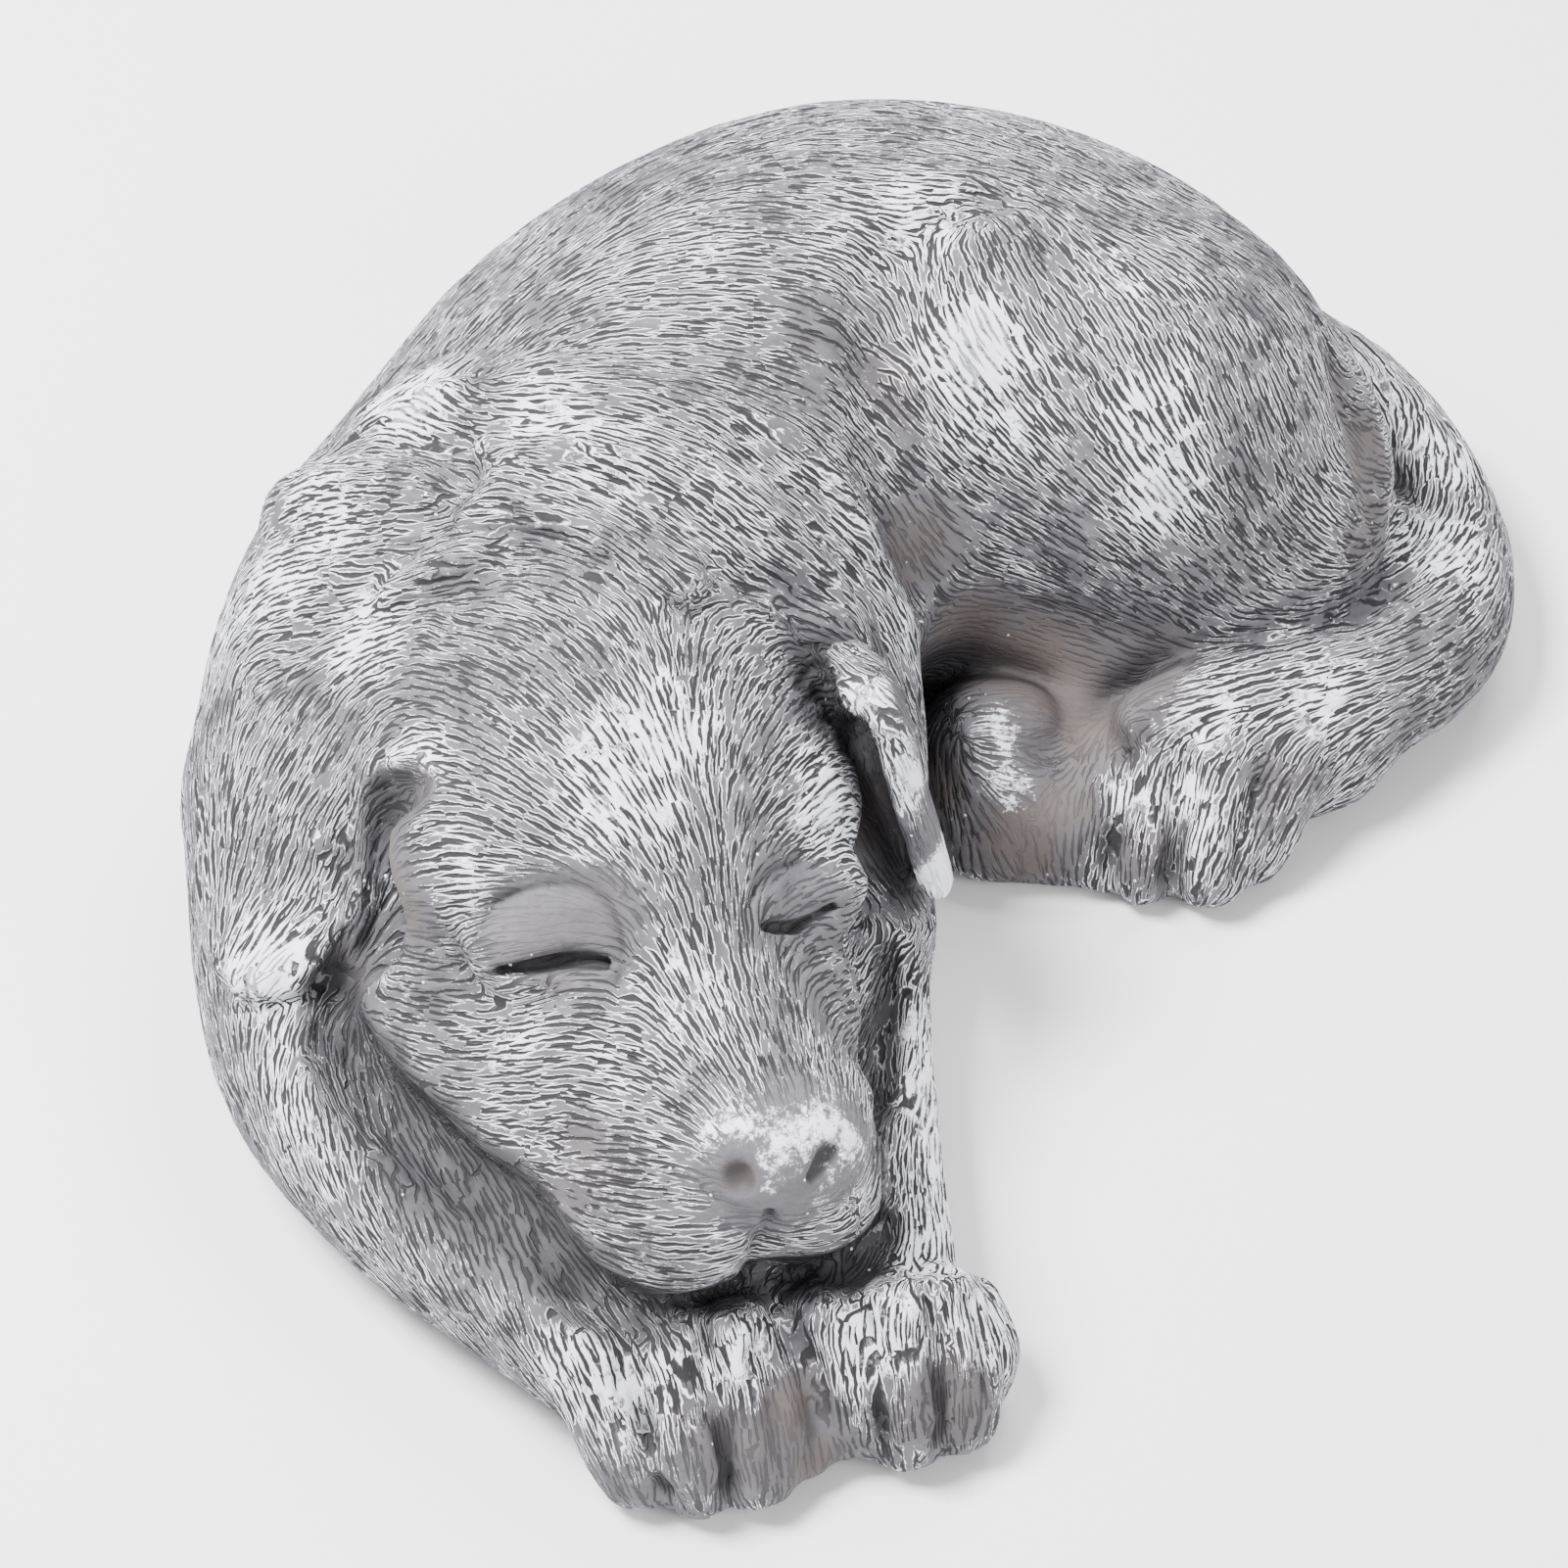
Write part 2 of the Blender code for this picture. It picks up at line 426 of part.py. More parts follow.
def part_touching_corners(values):
    """Fills one corner wherever two solid corners of a grid face touch only across it: the skin stays closed."""
    for first, second in ((0, 1), (0, 2), (1, 2)) * 3:
        view = np.moveaxis(values, (first, second), (0, 1))
        solid = view < 0
        here, right, ahead, across = solid[:-1, :-1], solid[1:, :-1], solid[:-1, 1:], solid[1:, 1:]
        view[1:, :-1][here & across & ~right & ~ahead] = -0.05 * CELL
        view[:-1, :-1][right & ahead & ~here & ~across] = -0.05 * CELL


def skin_points(values):
    """One point in each grid cell that the surface passes: the mean of where it crosses the cell's edges."""
    shape = tuple(np.array(values.shape) - 1)
    total = np.zeros((*shape, 3))
    hits = np.zeros(shape)
    for axis in range(3):
        for corner in ((0, 0), (0, 1), (1, 0), (1, 1)):
            start = np.insert(corner, axis, 0)
            end = np.insert(corner, axis, 1)
            near, far = (values[tuple(slice(s, s + n) for s, n in zip(end_of, shape))]
                         for end_of in (start, end))
            crossed = (near < 0) != (far < 0)
            share = np.where(crossed, near / np.where(crossed, near - far, 1.0), 0.0)
            for k in range(3):
                total[..., k] += np.where(crossed, start[k] + (share if k == axis else 0.0), 0.0)
            hits += crossed
    used = hits > 0
    number = np.full(shape, -1)
    number[used] = np.arange(used.sum())
    return LOW + CELL * (np.argwhere(used) + total[used] / hits[used][:, None]), number


def skin_quads(values, number):
    """A quad across each grid edge that the surface crosses, facing out."""
    shape = np.array(number.shape)
    quads = []
    for axis in range(3):
        one, two = (axis + 1) % 3, (axis + 2) % 3
        inner = [slice(1, size) for size in shape]
        inner[axis] = slice(0, shape[axis])
        beyond = list(inner)
        beyond[axis] = slice(1, shape[axis] + 1)
        near, far = values[tuple(inner)] < 0, values[tuple(beyond)] < 0
        at = np.argwhere(near != far)
        leaving = (near & ~far)[tuple(at.T)]
        at[:, one] += 1
        at[:, two] += 1
        corners = []
        for step_one, step_two in ((-1, -1), (0, -1), (0, 0), (-1, 0)):
            cell = at.copy()
            cell[:, one] += step_one
            cell[:, two] += step_two
            corners.append(number[tuple(cell.T)])
        quad = np.stack(corners, 1)
        quad[~leaving] = quad[~leaving][:, ::-1]
        quads.append(quad)
    return np.vstack(quads)


def stone_material():
    """Painted grey cast resin with the look of stone."""
    material = bpy.data.materials.new("stone_grey_resin")
    material.use_nodes = True
    shader = material.node_tree.nodes["Principled BSDF"]
    shader.inputs["Base Color"].default_value = STONE_GREY
    shader.inputs["Roughness"].default_value = STONE_ROUGHNESS
    shader.inputs["Metallic"].default_value = 0.0
    return material


def build_figure():
    """The sleeping puppy as one closed solid standing on Z = 0."""
    values = sample(puppy)
    part_touching_corners(values)
    points, number = skin_points(values)
    quads = skin_quads(values, number)
    points[:, 2] = np.where(points[:, 2] < 0.35 * CELL, 0.0, points[:, 2])
    mesh = bpy.data.meshes.new("sleeping_puppy")
    mesh.from_pydata(((points - MIDDLE) * UNIT).tolist(), [], quads.tolist())
    mesh.materials.append(stone_material())
    figure = bpy.data.objects.new("sleeping_puppy", mesh)
    bpy.context.scene.collection.objects.link(figure)
    thin = figure.modifiers.new("thin_out", "DECIMATE")
    thin.ratio = MOST_TRIANGLES / (2 * len(quads))
    return figure


for existing in list(bpy.data.objects):
    bpy.data.objects.remove(existing)
build_figure()
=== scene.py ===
"""Visual model of a cast memorial figure: a puppy asleep, curled up, with its head on its forepaws.

The figure is laid up as clay, form by form, in the same places as the solid that it stands for. A fine
skin is stretched over the clay, the coat is cut into it along combed lines, and the finish is grey cast
stone with white dry-brushing on the ridges and a thin brown wash in the hollows, with shade painted dark
into the cuts and hollows.

Lengths in the modelling classes are millimetres. The finished mesh is in metres.
"""

import logging
from dataclasses import dataclass, field
from enum import Enum
from typing import Any, Sequence

import bpy
import numpy as np
from mathutils import Matrix, Vector


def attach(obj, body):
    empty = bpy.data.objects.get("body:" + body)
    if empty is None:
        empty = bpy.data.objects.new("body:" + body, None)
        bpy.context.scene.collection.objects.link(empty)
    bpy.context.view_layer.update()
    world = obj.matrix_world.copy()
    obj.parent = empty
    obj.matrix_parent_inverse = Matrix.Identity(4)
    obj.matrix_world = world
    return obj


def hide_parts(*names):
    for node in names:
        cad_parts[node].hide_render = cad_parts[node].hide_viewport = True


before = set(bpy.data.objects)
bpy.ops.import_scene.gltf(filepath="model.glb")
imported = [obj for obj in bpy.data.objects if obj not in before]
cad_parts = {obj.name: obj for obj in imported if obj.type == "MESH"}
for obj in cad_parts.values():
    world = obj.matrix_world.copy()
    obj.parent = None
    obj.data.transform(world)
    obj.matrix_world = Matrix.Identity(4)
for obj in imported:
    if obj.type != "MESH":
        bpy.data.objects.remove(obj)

LOG = logging.getLogger("puppy")
METRE = 0.001
FAR = 1.0e3
MIDDLE = np.array([2.8, 3.7, 0.0])

Row = tuple[float, ...]
Rows = Sequence[Row]


def turn(yaw: float, pitch: float, roll: float) -> np.ndarray:
    """Axes of a turned head: its rows are the across, forward and up directions.

    Args:
        yaw: Turn about the upright, in degrees.
        pitch: How far the nose dips, in degrees.
        roll: How far the head leans to its side, in degrees.

    Returns:
        A 3 by 3 array of unit rows.
    """
    yaw, pitch, roll = np.radians([yaw, pitch, roll])
    forward = np.array([np.sin(yaw) * np.cos(pitch), -np.cos(yaw) * np.cos(pitch), -np.sin(pitch)])
    across = np.array([np.cos(yaw), np.sin(yaw), 0.0])
    up = np.cross(forward, across)
    up = up if up[2] > 0 else -up
    return np.array(
        [
            np.cos(roll) * across - np.sin(roll) * up,
            forward,
            np.cos(roll) * up + np.sin(roll) * across,
        ]
    )


def smooth_path(points: Rows | np.ndarray, steps: int) -> np.ndarray:
    """Points along a Catmull-Rom curve: each is a cubic in the share between two rows.

    Args:
        points: Rows of x, y, z and any further columns, which are carried along.
        steps: Points for each stretch between two rows.

    Returns:
        An array with the same columns.
    """
    rows = np.asarray(points, float)
    padded = np.vstack([2 * rows[0] - rows[1], rows, 2 * rows[-1] - rows[-2]])
    before, start, end, after = padded[:-3], padded[1:-2], padded[2:-1], padded[3:]
    share = (np.arange(steps) / steps)[None, :, None]
    before, start, end, after = (part[:, None] for part in (before, start, end, after))
    found = (
        start
        + 0.5 * (end - before) * share
        + (before - 2.5 * start + 2 * end - 0.5 * after) * share**2
        + (1.5 * start - 0.5 * before - 1.5 * end + 0.5 * after) * share**3
    )
    return np.vstack([found.reshape(-1, rows.shape[1]), rows[-1:]])


class Tube:
    """A limb: a round rod whose radius changes along a smooth path."""

    def __init__(self, rows: Rows, steps: int = 4) -> None:
        """Keeps the path.

        Args:
            rows: Rows of x, y, z and radius.
            steps: Points for each stretch between two rows.
        """
        self.rows = smooth_path(rows, steps)
        reach = self.rows[:, 3:4]
        self.low = (self.rows[:, :3] - reach).min(0)
        self.high = (self.rows[:, :3] + reach).max(0)

    def measure(self, points: np.ndarray) -> tuple[np.ndarray, np.ndarray]:
        """Each point's distance from the path, and the radius where it is nearest."""
        best = np.full(len(points), FAR)
        gaps = np.full(len(points), FAR)
        radii = np.ones(len(points))
        for start, end in zip(self.rows, self.rows[1:]):
            line = end[:3] - start[:3]
            offset = points - start[:3]
            share = np.clip(offset @ line / (line @ line), 0.0, 1.0)
            gap = offset - share[:, None] * line
            radius = start[3] + share * (end[3] - start[3])
            length = np.sqrt((gap * gap).sum(1))
            nearer = length - radius < best
            best = np.where(nearer, length - radius, best)
            gaps = np.where(nearer, length, gaps)
            radii = np.where(nearer, radius, radii)
        return gaps, radii

    def distance(self, points: np.ndarray) -> np.ndarray:
        """Distance from the rod's skin: the gap less the radius."""
        gaps, radii = self.measure(points)
        return gaps - radii


class Ball:
    """An egg: an ellipsoid with its own axes."""

    def __init__(self, centre: Row | np.ndarray, radii: Row, axes: np.ndarray | None = None) -> None:
        """Keeps the egg.

        Args:
            centre: Its middle.
            radii: Its three half lengths.
            axes: Unit rows along them; the figure's own axes if left out.
        """
        self.centre = np.asarray(centre, float)
        self.radii = np.asarray(radii, float)
        self.axes = np.eye(3) if axes is None else axes
        reach = np.sqrt(((self.axes * self.radii[:, None]) ** 2).sum(0))
        self.low = self.centre - reach
        self.high = self.centre + reach

    def distance(self, points: np.ndarray) -> np.ndarray:
        """Near the skin, k (k - 1) / |gradient of k|, where k is 1 on the ellipsoid."""
        local = (points - self.centre) @ self.axes.T
        scaled = np.sqrt(((local / self.radii) ** 2).sum(1)) + 1e-9
        slope = np.sqrt(((local / self.radii**2) ** 2).sum(1)) + 1e-9
        return scaled * (scaled - 1.0) / slope


class Flap:
    """An ear: a strap along a smooth path, bowed across its width."""

    def __init__(self, rows: Rows, thickness: float, bow: float, steps: int = 4) -> None:
        """Keeps the strap.

        Args:
            rows: Rows of x, y, z, half width and the outward normal's x, y, z.
            thickness: Of the strap.
            bow: How fast its edges curl in, as a parabola's factor.
            steps: Points for each stretch between two rows.
        """
        self.rows = smooth_path(rows, steps)
        self.thickness = thickness
        self.bow = bow
        reach = self.rows[:, 3:4] + thickness
        self.low = (self.rows[:, :3] - reach).min(0)
        self.high = (self.rows[:, :3] + reach).max(0)

    def distance(self, points: np.ndarray) -> np.ndarray:
        """Distance from the bowed sheet, less half the thickness."""
        nearest = np.full(len(points), FAR)
        for start, end in zip(self.rows, self.rows[1:]):
            line = end[:3] - start[:3]
            offset = points - start[:3]
            share = np.clip(offset @ line / (line @ line), 0.0, 1.0)
            gap = offset - share[:, None] * line
            row = start + share[:, None] * (end - start)
            along = line / np.linalg.norm(line)
            normal = row[:, 4:7] - (row[:, 4:7] @ along)[:, None] * along
            normal /= np.linalg.norm(normal, axis=1)[:, None]
            across = (gap * np.cross(along, normal)).sum(1)
            depth = (gap * normal).sum(1) + self.bow * across**2
            edge = np.maximum(np.abs(across) - row[:, 3], 0.0)
            beyond = gap @ along
            nearest = np.minimum(nearest, np.sqrt(edge**2 + depth**2 + beyond**2) - self.thickness / 2)
        return nearest


Form = Tube | Ball | Flap


class Clay:
    """The distance field at a set of points, negative inside, built up form by form."""

    def __init__(self, points: np.ndarray) -> None:
        """Starts with nothing laid on.

        Args:
            points: Where the field is wanted, a row each.
        """
        self.points = points
        self.distance = np.full(len(points), FAR)

    def near(self, form: Form, margin: float) -> np.ndarray:
        """Which points lie inside the form's box grown by a margin."""
        inside = (self.points > form.low - margin) & (self.points < form.high + margin)
        return np.flatnonzero(inside.all(axis=1))

    def join(self, at: np.ndarray, new: np.ndarray, fillet: float) -> None:
        """Takes the lower of the field and a new one, less f (1 - |a - b| / f) squared / 4."""
        mine = self.distance[at]
        overlap = np.maximum(fillet - np.abs(mine - new), 0.0) / fillet
        self.distance[at] = np.minimum(mine, new) - overlap**2 * fillet / 4

    def add(self, form: Form, fillet: float) -> None:
        """Lays a form on, with a fillet where it meets what is there."""
        at = self.near(form, fillet + 8.0)
        self.join(at, form.distance(self.points[at]), fillet)

    def cut(self, form: Form, fillet: float) -> None:
        """Takes a form away, with its rim rounded by the fillet."""
        at = self.near(form, fillet + 8.0)
        mine = self.distance[at]
        new = -form.distance(self.points[at])
        overlap = np.maximum(fillet - np.abs(mine - new), 0.0) / fillet
        self.distance[at] = np.maximum(mine, new) + overlap**2 * fillet / 4

    def press(self, rows: Rows, depth: float) -> None:
        """Presses a soft line in by depth (r / widest r) (1 - (gap / r) squared) squared.

        Args:
            rows: Rows of x, y, z and half width.
            depth: At the widest row.
        """
        line = Tube(rows)
        at = self.near(line, 0.5)
        gaps, radii = line.measure(self.points[at])
        share = radii / line.rows[:, 3].max()
        self.distance[at] += depth * share * np.maximum(1.0 - (gaps / radii) ** 2, 0.0) ** 2


@dataclass(frozen=True)
class Body:
    """The curled trunk with the belly, the haunch and the tail."""

    spine: Rows = ((-33, 26, 24, 32), (-20, 43.5, 27, 35), (1, 57, 28.5, 35), (24, 56.5, 28, 31), (42, 49, 22, 24))
    neck: Rows = ((-22, -8, 30, 22), (-30, 8, 32, 27), (-28, 24, 30, 30))
    shoulder: Rows = (
        (-25.3, 34.4, 36, 15), (-9.3, 23.3, 33, 13), (-3.7, 12.7, 28, 12), (-2, 1.6, 22, 11.5), (-0.8, -11.4, 15, 10),
    )
    tail: Rows = (
        (51.5, 66.4, 22, 10.5), (60.8, 67.7, 15, 9.5), (67.8, 63.5, 11, 8.6), (72.1, 55.6, 9, 8.2),
        (73.4, 45.2, 8.5, 8.3), (70.1, 34.8, 9, 8.8), (61.9, 26.4, 10, 8.6), (52.6, 22.6, 13, 7.2),
        (44, 20.4, 15.5, 5.4), (36.4, 17.1, 16.5, 3.8), (34, 15.2, 17, 2.6),
    )

    def lay_on(self, clay: Clay) -> None:
        """Lays the trunk, fills the belly, and adds haunch and tail."""
        clay.add(Tube(self.spine, steps=10), 8)
        clay.add(Ball((-37, 9, 20), (37.5, 40, 32)), 14)
        clay.add(Tube(self.neck), 8)
        clay.add(Tube(self.shoulder), 6)
        clay.add(Tube([(14.2, 39.4, 10, 12), (28.1, 34.5, 12, 13), (45.8, 37.6, 12, 12)]), 6)
        clay.add(Tube([(16.1, 11.7, 4, 7), (26.4, 10.4, 5, 8), (36.9, 12.8, 5, 8)]), 4)
        clay.add(Ball((26.1, 19.6, 6), (8, 8, 9)), 4)
        clay.add(Tube([(31.7, 37.6, 12, 10), (48, 35.4, 13, 11), (62.9, 45.7, 11, 9)]), 3)
        clay.add(Ball((31.5, 50, 33), (28, 26.5, 25.5)), 2)
        clay.add(Ball((15.9, 49.6, 35), (11.5, 14, 16)), 6)
        clay.add(Tube(self.tail), 2)


@dataclass(frozen=True)
class HindFeet:
    """The foot under the tail with its toes, and the knuckled one beside it."""

    toes: tuple[Rows, ...] = (
        ((31.5, 16.1, 11, 3.6), (30.1, 7.5, 6, 4), (30.4, 5.2, 3.8, 3.8)),
        ((37.1, 15.1, 13, 4.2), (35.3, 6.6, 8, 4.8), (35.1, 3.5, 4.4, 4.4)),
        ((44.8, 14.4, 13, 5), (42.4, 6.6, 8, 5.8), (42.4, 3.4, 5.2, 5.2)),
        ((51.5, 13.8, 11, 5), (49, 9.7, 7, 5.4), (47.2, 6.6, 5, 5)),
    )
    clefts: tuple[tuple[Rows, float], ...] = (
        (((32.9, 11.9, 15, 1.6), (31.6, 5.9, 11.6, 2.2), (30.4, 1.3, 4.5, 2.2)), 1.6),
        (((39.6, 11.6, 16.3, 1.6), (38.7, 5.2, 12.4, 2.6), (37.9, -0.2, 4.6, 2.4)), 1.8),
        (((48.2, 8.7, 13.6, 1.6), (46.4, 3.5, 10.9, 2), (45.5, -0.4, 6.7, 1.6)), 1.2),
    )

    def lay_on(self, clay: Clay) -> None:
        """Lays on both feet and presses the clefts between the toes."""
        clay.add(Tube([(55.7, 21.7, 8, 10), (45, 17.4, 8.5, 10), (37.4, 15.6, 8, 8.5)]), 3)
        for toe in self.toes:
            clay.add(Tube(toe), 1.5)
        for cleft, depth in self.clefts:
            clay.press(cleft, depth)
        clay.add(Ball((16, 16.3, 9), (8, 9, 10)), 3)
        clay.add(Ball((19.1, 17.8, 14), (6.4, 5, 5)), 1.2)
        clay.add(Ball((20, 10.9, 9.5), (6, 4.8, 5)), 1)
        clay.add(Ball((18, 6.8, 4), (7.5, 4, 4)), 1)


@dataclass(frozen=True)
class Forelegs:
    """Both forelegs, their paws with four toes each, and what fills the space under the head."""

    left: Rows = (
        (-61.2, 0.5, 18, 14.5), (-59.3, -21.2, 14, 13.8), (-55.2, -34.9, 13, 13), (-45.5, -47.3, 12, 12.4),
        (-34.1, -57.7, 12, 11.8), (-26.4, -65, 12, 11.2),
    )
    right: Rows = ((-0.6, -11.9, 12, 9.8), (0, -26.5, 11, 9.6), (0.8, -42.5, 10.5, 9.6), (2, -56.9, 10.5, 9.6))
    toes: tuple[Rows, ...] = (
        ((-27.1, -70.8, 15, 5.2), (-24.7, -75.9, 9, 5.4), (-22.6, -79, 4.6, 4.8)),
        ((-19.6, -70.2, 16, 5), (-17.3, -76.5, 9.5, 5.4), (-16, -80.2, 4.6, 4.8)),
        ((-12.8, -70.2, 16, 4.6), (-10.8, -75.8, 9.5, 4.9), (-9.9, -79.3, 4.6, 4.6)),
        ((-7.9, -68.2, 13, 4), (-6, -74.6, 8.5, 4.2), (-5.2, -76.1, 4.4, 4)),
        ((-2.3, -67.6, 15, 4), (-1, -71.5, 9.5, 4.5), (-0.3, -73.1, 4.4, 4.3)),
        ((4.7, -67.1, 16, 4.9), (5.6, -72.1, 9.5, 5.1), (6.1, -74.2, 4.6, 4.8)),
        ((10, -65.1, 14, 4.7), (11.5, -69.6, 9, 5), (11.7, -72.3, 4.6, 4.6)),
        ((12.8, -63, 10, 4.2), (14.1, -66.1, 8, 4.4), (13.7, -67.2, 4.6, 4.3)),
    )
    clefts: tuple[tuple[Rows, float], ...] = (
        (((-24.4, -72.6, 20, 1.6), (-22.6, -76.6, 15.4, 2.6), (-19.2, -84, 5.6, 2.2)), 1.7),
        (((-15.7, -70.9, 19.7, 1.6), (-14, -77.8, 14.5, 2.4), (-12.9, -83.8, 4.5, 2)), 1.9),
        (((-9.9, -71.8, 19.3, 1.4), (-7.8, -77.8, 12.9, 2.2), (-6.8, -82.3, 6.4, 1.8)), 1.7),
        (((-6.4, -69.8, 16.4, 1.6), (-3.9, -74.5, 12.9, 2.8), (-3.4, -79.2, 6.5, 2.8)), 2.2),
        (((1.7, -68.7, 19.5, 1.4), (3.1, -75.1, 13.8, 2.2), (3.5, -78.5, 6.2, 2)), 1.9),
        (((8.6, -66.7, 19, 1.6), (9.6, -72.2, 14.5, 2.4), (9.4, -77.8, 5, 1.8)), 1.7),
        (((13, -66.4, 17.3, 1.4), (14.3, -69.7, 14.1, 2), (14.7, -73.3, 10.4, 1.6)), 1.5),
    )

    def lay_on(self, clay: Clay) -> None:
        """Lays on legs, paws, toes and the mass under the throat."""
        clay.add(Tube(self.left), 5)
        clay.add(Tube(self.right), 5)
        clay.add(Ball((-17.6, -72.7, 7.5), (11.4, 11.5, 7.8)), 4)
        clay.add(Ball((4.8, -68, 7.5), (10.4, 10.5, 8.2)), 4)
        for toe in self.toes:
            clay.add(Tube(toe), 1.2)
        clay.add(Tube([(-33.1, -37, 14, 13), (-18.8, -52.1, 11, 11), (-8.1, -57.8, 10, 9.5)]), 4)
        clay.add(Tube([(-30, -14, 6, 24), (-28, -34, 6, 20), (-15, -52, 5, 13), (-10, -64, 4, 9)]), 4)

    def part_toes(self, clay: Clay) -> None:
        """Presses the grooves between the toes, and the deeper one between the paws."""
        for cleft, depth in self.clefts:
            clay.press(cleft, depth)


@dataclass(frozen=True)
class Neck:
    """The loose skin behind the head, gathered towards one point on the left, and its folds."""

    rolls: tuple[tuple[Rows, float], ...] = (
        (((-51.9, 30.2, 48.6, 5), (-46.8, 29.6, 49.9, 7), (-40.8, 28.1, 52.2, 8), (-35.2, 26.6, 54.2, 8),
          (-26.8, 25.2, 55, 8), (-17.7, 24.8, 53.3, 8), (-10.1, 24, 49.4, 8), (-3.7, 20.3, 43.2, 7)), 2.5),
        (((-38, 16.1, 57.9, 5), (-31.2, 17.3, 55.8, 8), (-26.4, 19.9, 55.3, 9), (-21.4, 20.1, 54.5, 9),
          (-16.2, 17, 51.4, 9), (-11.4, 13.7, 46.8, 9), (-7.2, 10.9, 40.6, 9), (-3.4, 4.2, 36.2, 7)), 1.6),
        (((-60, 25.2, 40, 7), (-53.8, 23.4, 45.1, 8), (-48.4, 19.9, 50.5, 7), (-43.3, 14.1, 56.3, 4)), 1.6),
        (((-40, 11.9, 58, 4), (-35.1, 12.7, 58.2, 5.5), (-31.2, 10.7, 56.9, 6), (-27.2, 7.3, 56, 6),
          (-23.2, 4.2, 55.1, 5.5), (-18.4, 2.3, 54.3, 4)), 1.4),
        (((-48.5, 3.6, 51.2, 4), (-44.5, 3.8, 52.8, 4.5), (-40.6, 4.3, 55.1, 4)), 1.2),
    )
    folds: tuple[tuple[Rows, float], ...] = (
        (((-50.7, 0.3, 52.3, 2.5), (-44.1, -0.1, 55.6, 3.5), (-37.4, 1.9, 57.9, 4), (-32, 3.6, 59.1, 4),
          (-24.1, 1.7, 60, 3.5), (-15.6, 2.2, 57.2, 3.5), (-9.2, 5.7, 51, 3.5), (-3.2, 6.7, 47.7, 3)), 1.2),
        (((-42, 11.7, 61.5, 4), (-34.5, 10.5, 63.3, 4.5), (-28.1, 9.2, 62.4, 4.5), (-18.8, 3.7, 58.5, 3)), 1.6),
        (((-42.1, 13.2, 60.2, 4), (-39.4, 16.4, 62.7, 4.5), (-34.6, 19, 63.1, 5), (-27.6, 19.1, 64.3, 5),
          (-18.9, 19.5, 63.2, 5.5), (-11.4, 19.1, 58.9, 5.5), (-4.3, 17.4, 52.2, 5.5), (1.2, 13.6, 43.7, 4)), 1.7),
        (((-59.8, 27.4, 49.3, 3), (-52.5, 23, 55.6, 4.5), (-46.8, 21, 58.2, 5), (-42.7, 14.9, 59.6, 5)), 2),
        (((-42.3, 14.9, 58, 4), (-45.9, 10.3, 56.9, 4), (-54.7, 4.8, 50.2, 4.5), (-61.5, 4, 44.5, 4)), 1.4),
        (((-40.2, 4, 59, 3), (-37.5, 4.2, 57.8, 4), (-34.9, 4.8, 58.1, 3)), 1.4),
        (((20, 57.6, 61.3, 2), (14.3, 54.3, 62.1, 3.5), (8.2, 49.2, 62, 5), (5.2, 43.6, 60.6, 6.5),
          (4.5, 38.2, 58.2, 7), (4.7, 32.5, 54.3, 7.5), (5.8, 28.7, 50.2, 7.5), (7.4, 24.6, 43.2, 7),
          (9.3, 21.5, 33.3, 5)), 3.8),
        (((23.2, 48, 59.2, 4), (25.9, 39.9, 56.1, 6), (28, 31.2, 50.7, 6), (30.9, 25.8, 43.5, 4)), 0.9),
        (((53.6, 54.4, 48.1, 3), (58.4, 47.8, 40.5, 5), (60.7, 43.3, 35.9, 5), (62.5, 39.7, 30.3, 5)), 1.6),
    )

    def lay_on(self, clay: Clay) -> None:
        """Lays on the rolls of skin."""
        for roll, fillet in self.rolls:
            clay.add(Tube(roll), fillet)

    def press_folds(self, clay: Clay) -> None:
        """Presses the folds between the rolls, the one along the flank and the one beside the tail."""
        for fold, depth in self.folds:
            clay.press(fold, depth)


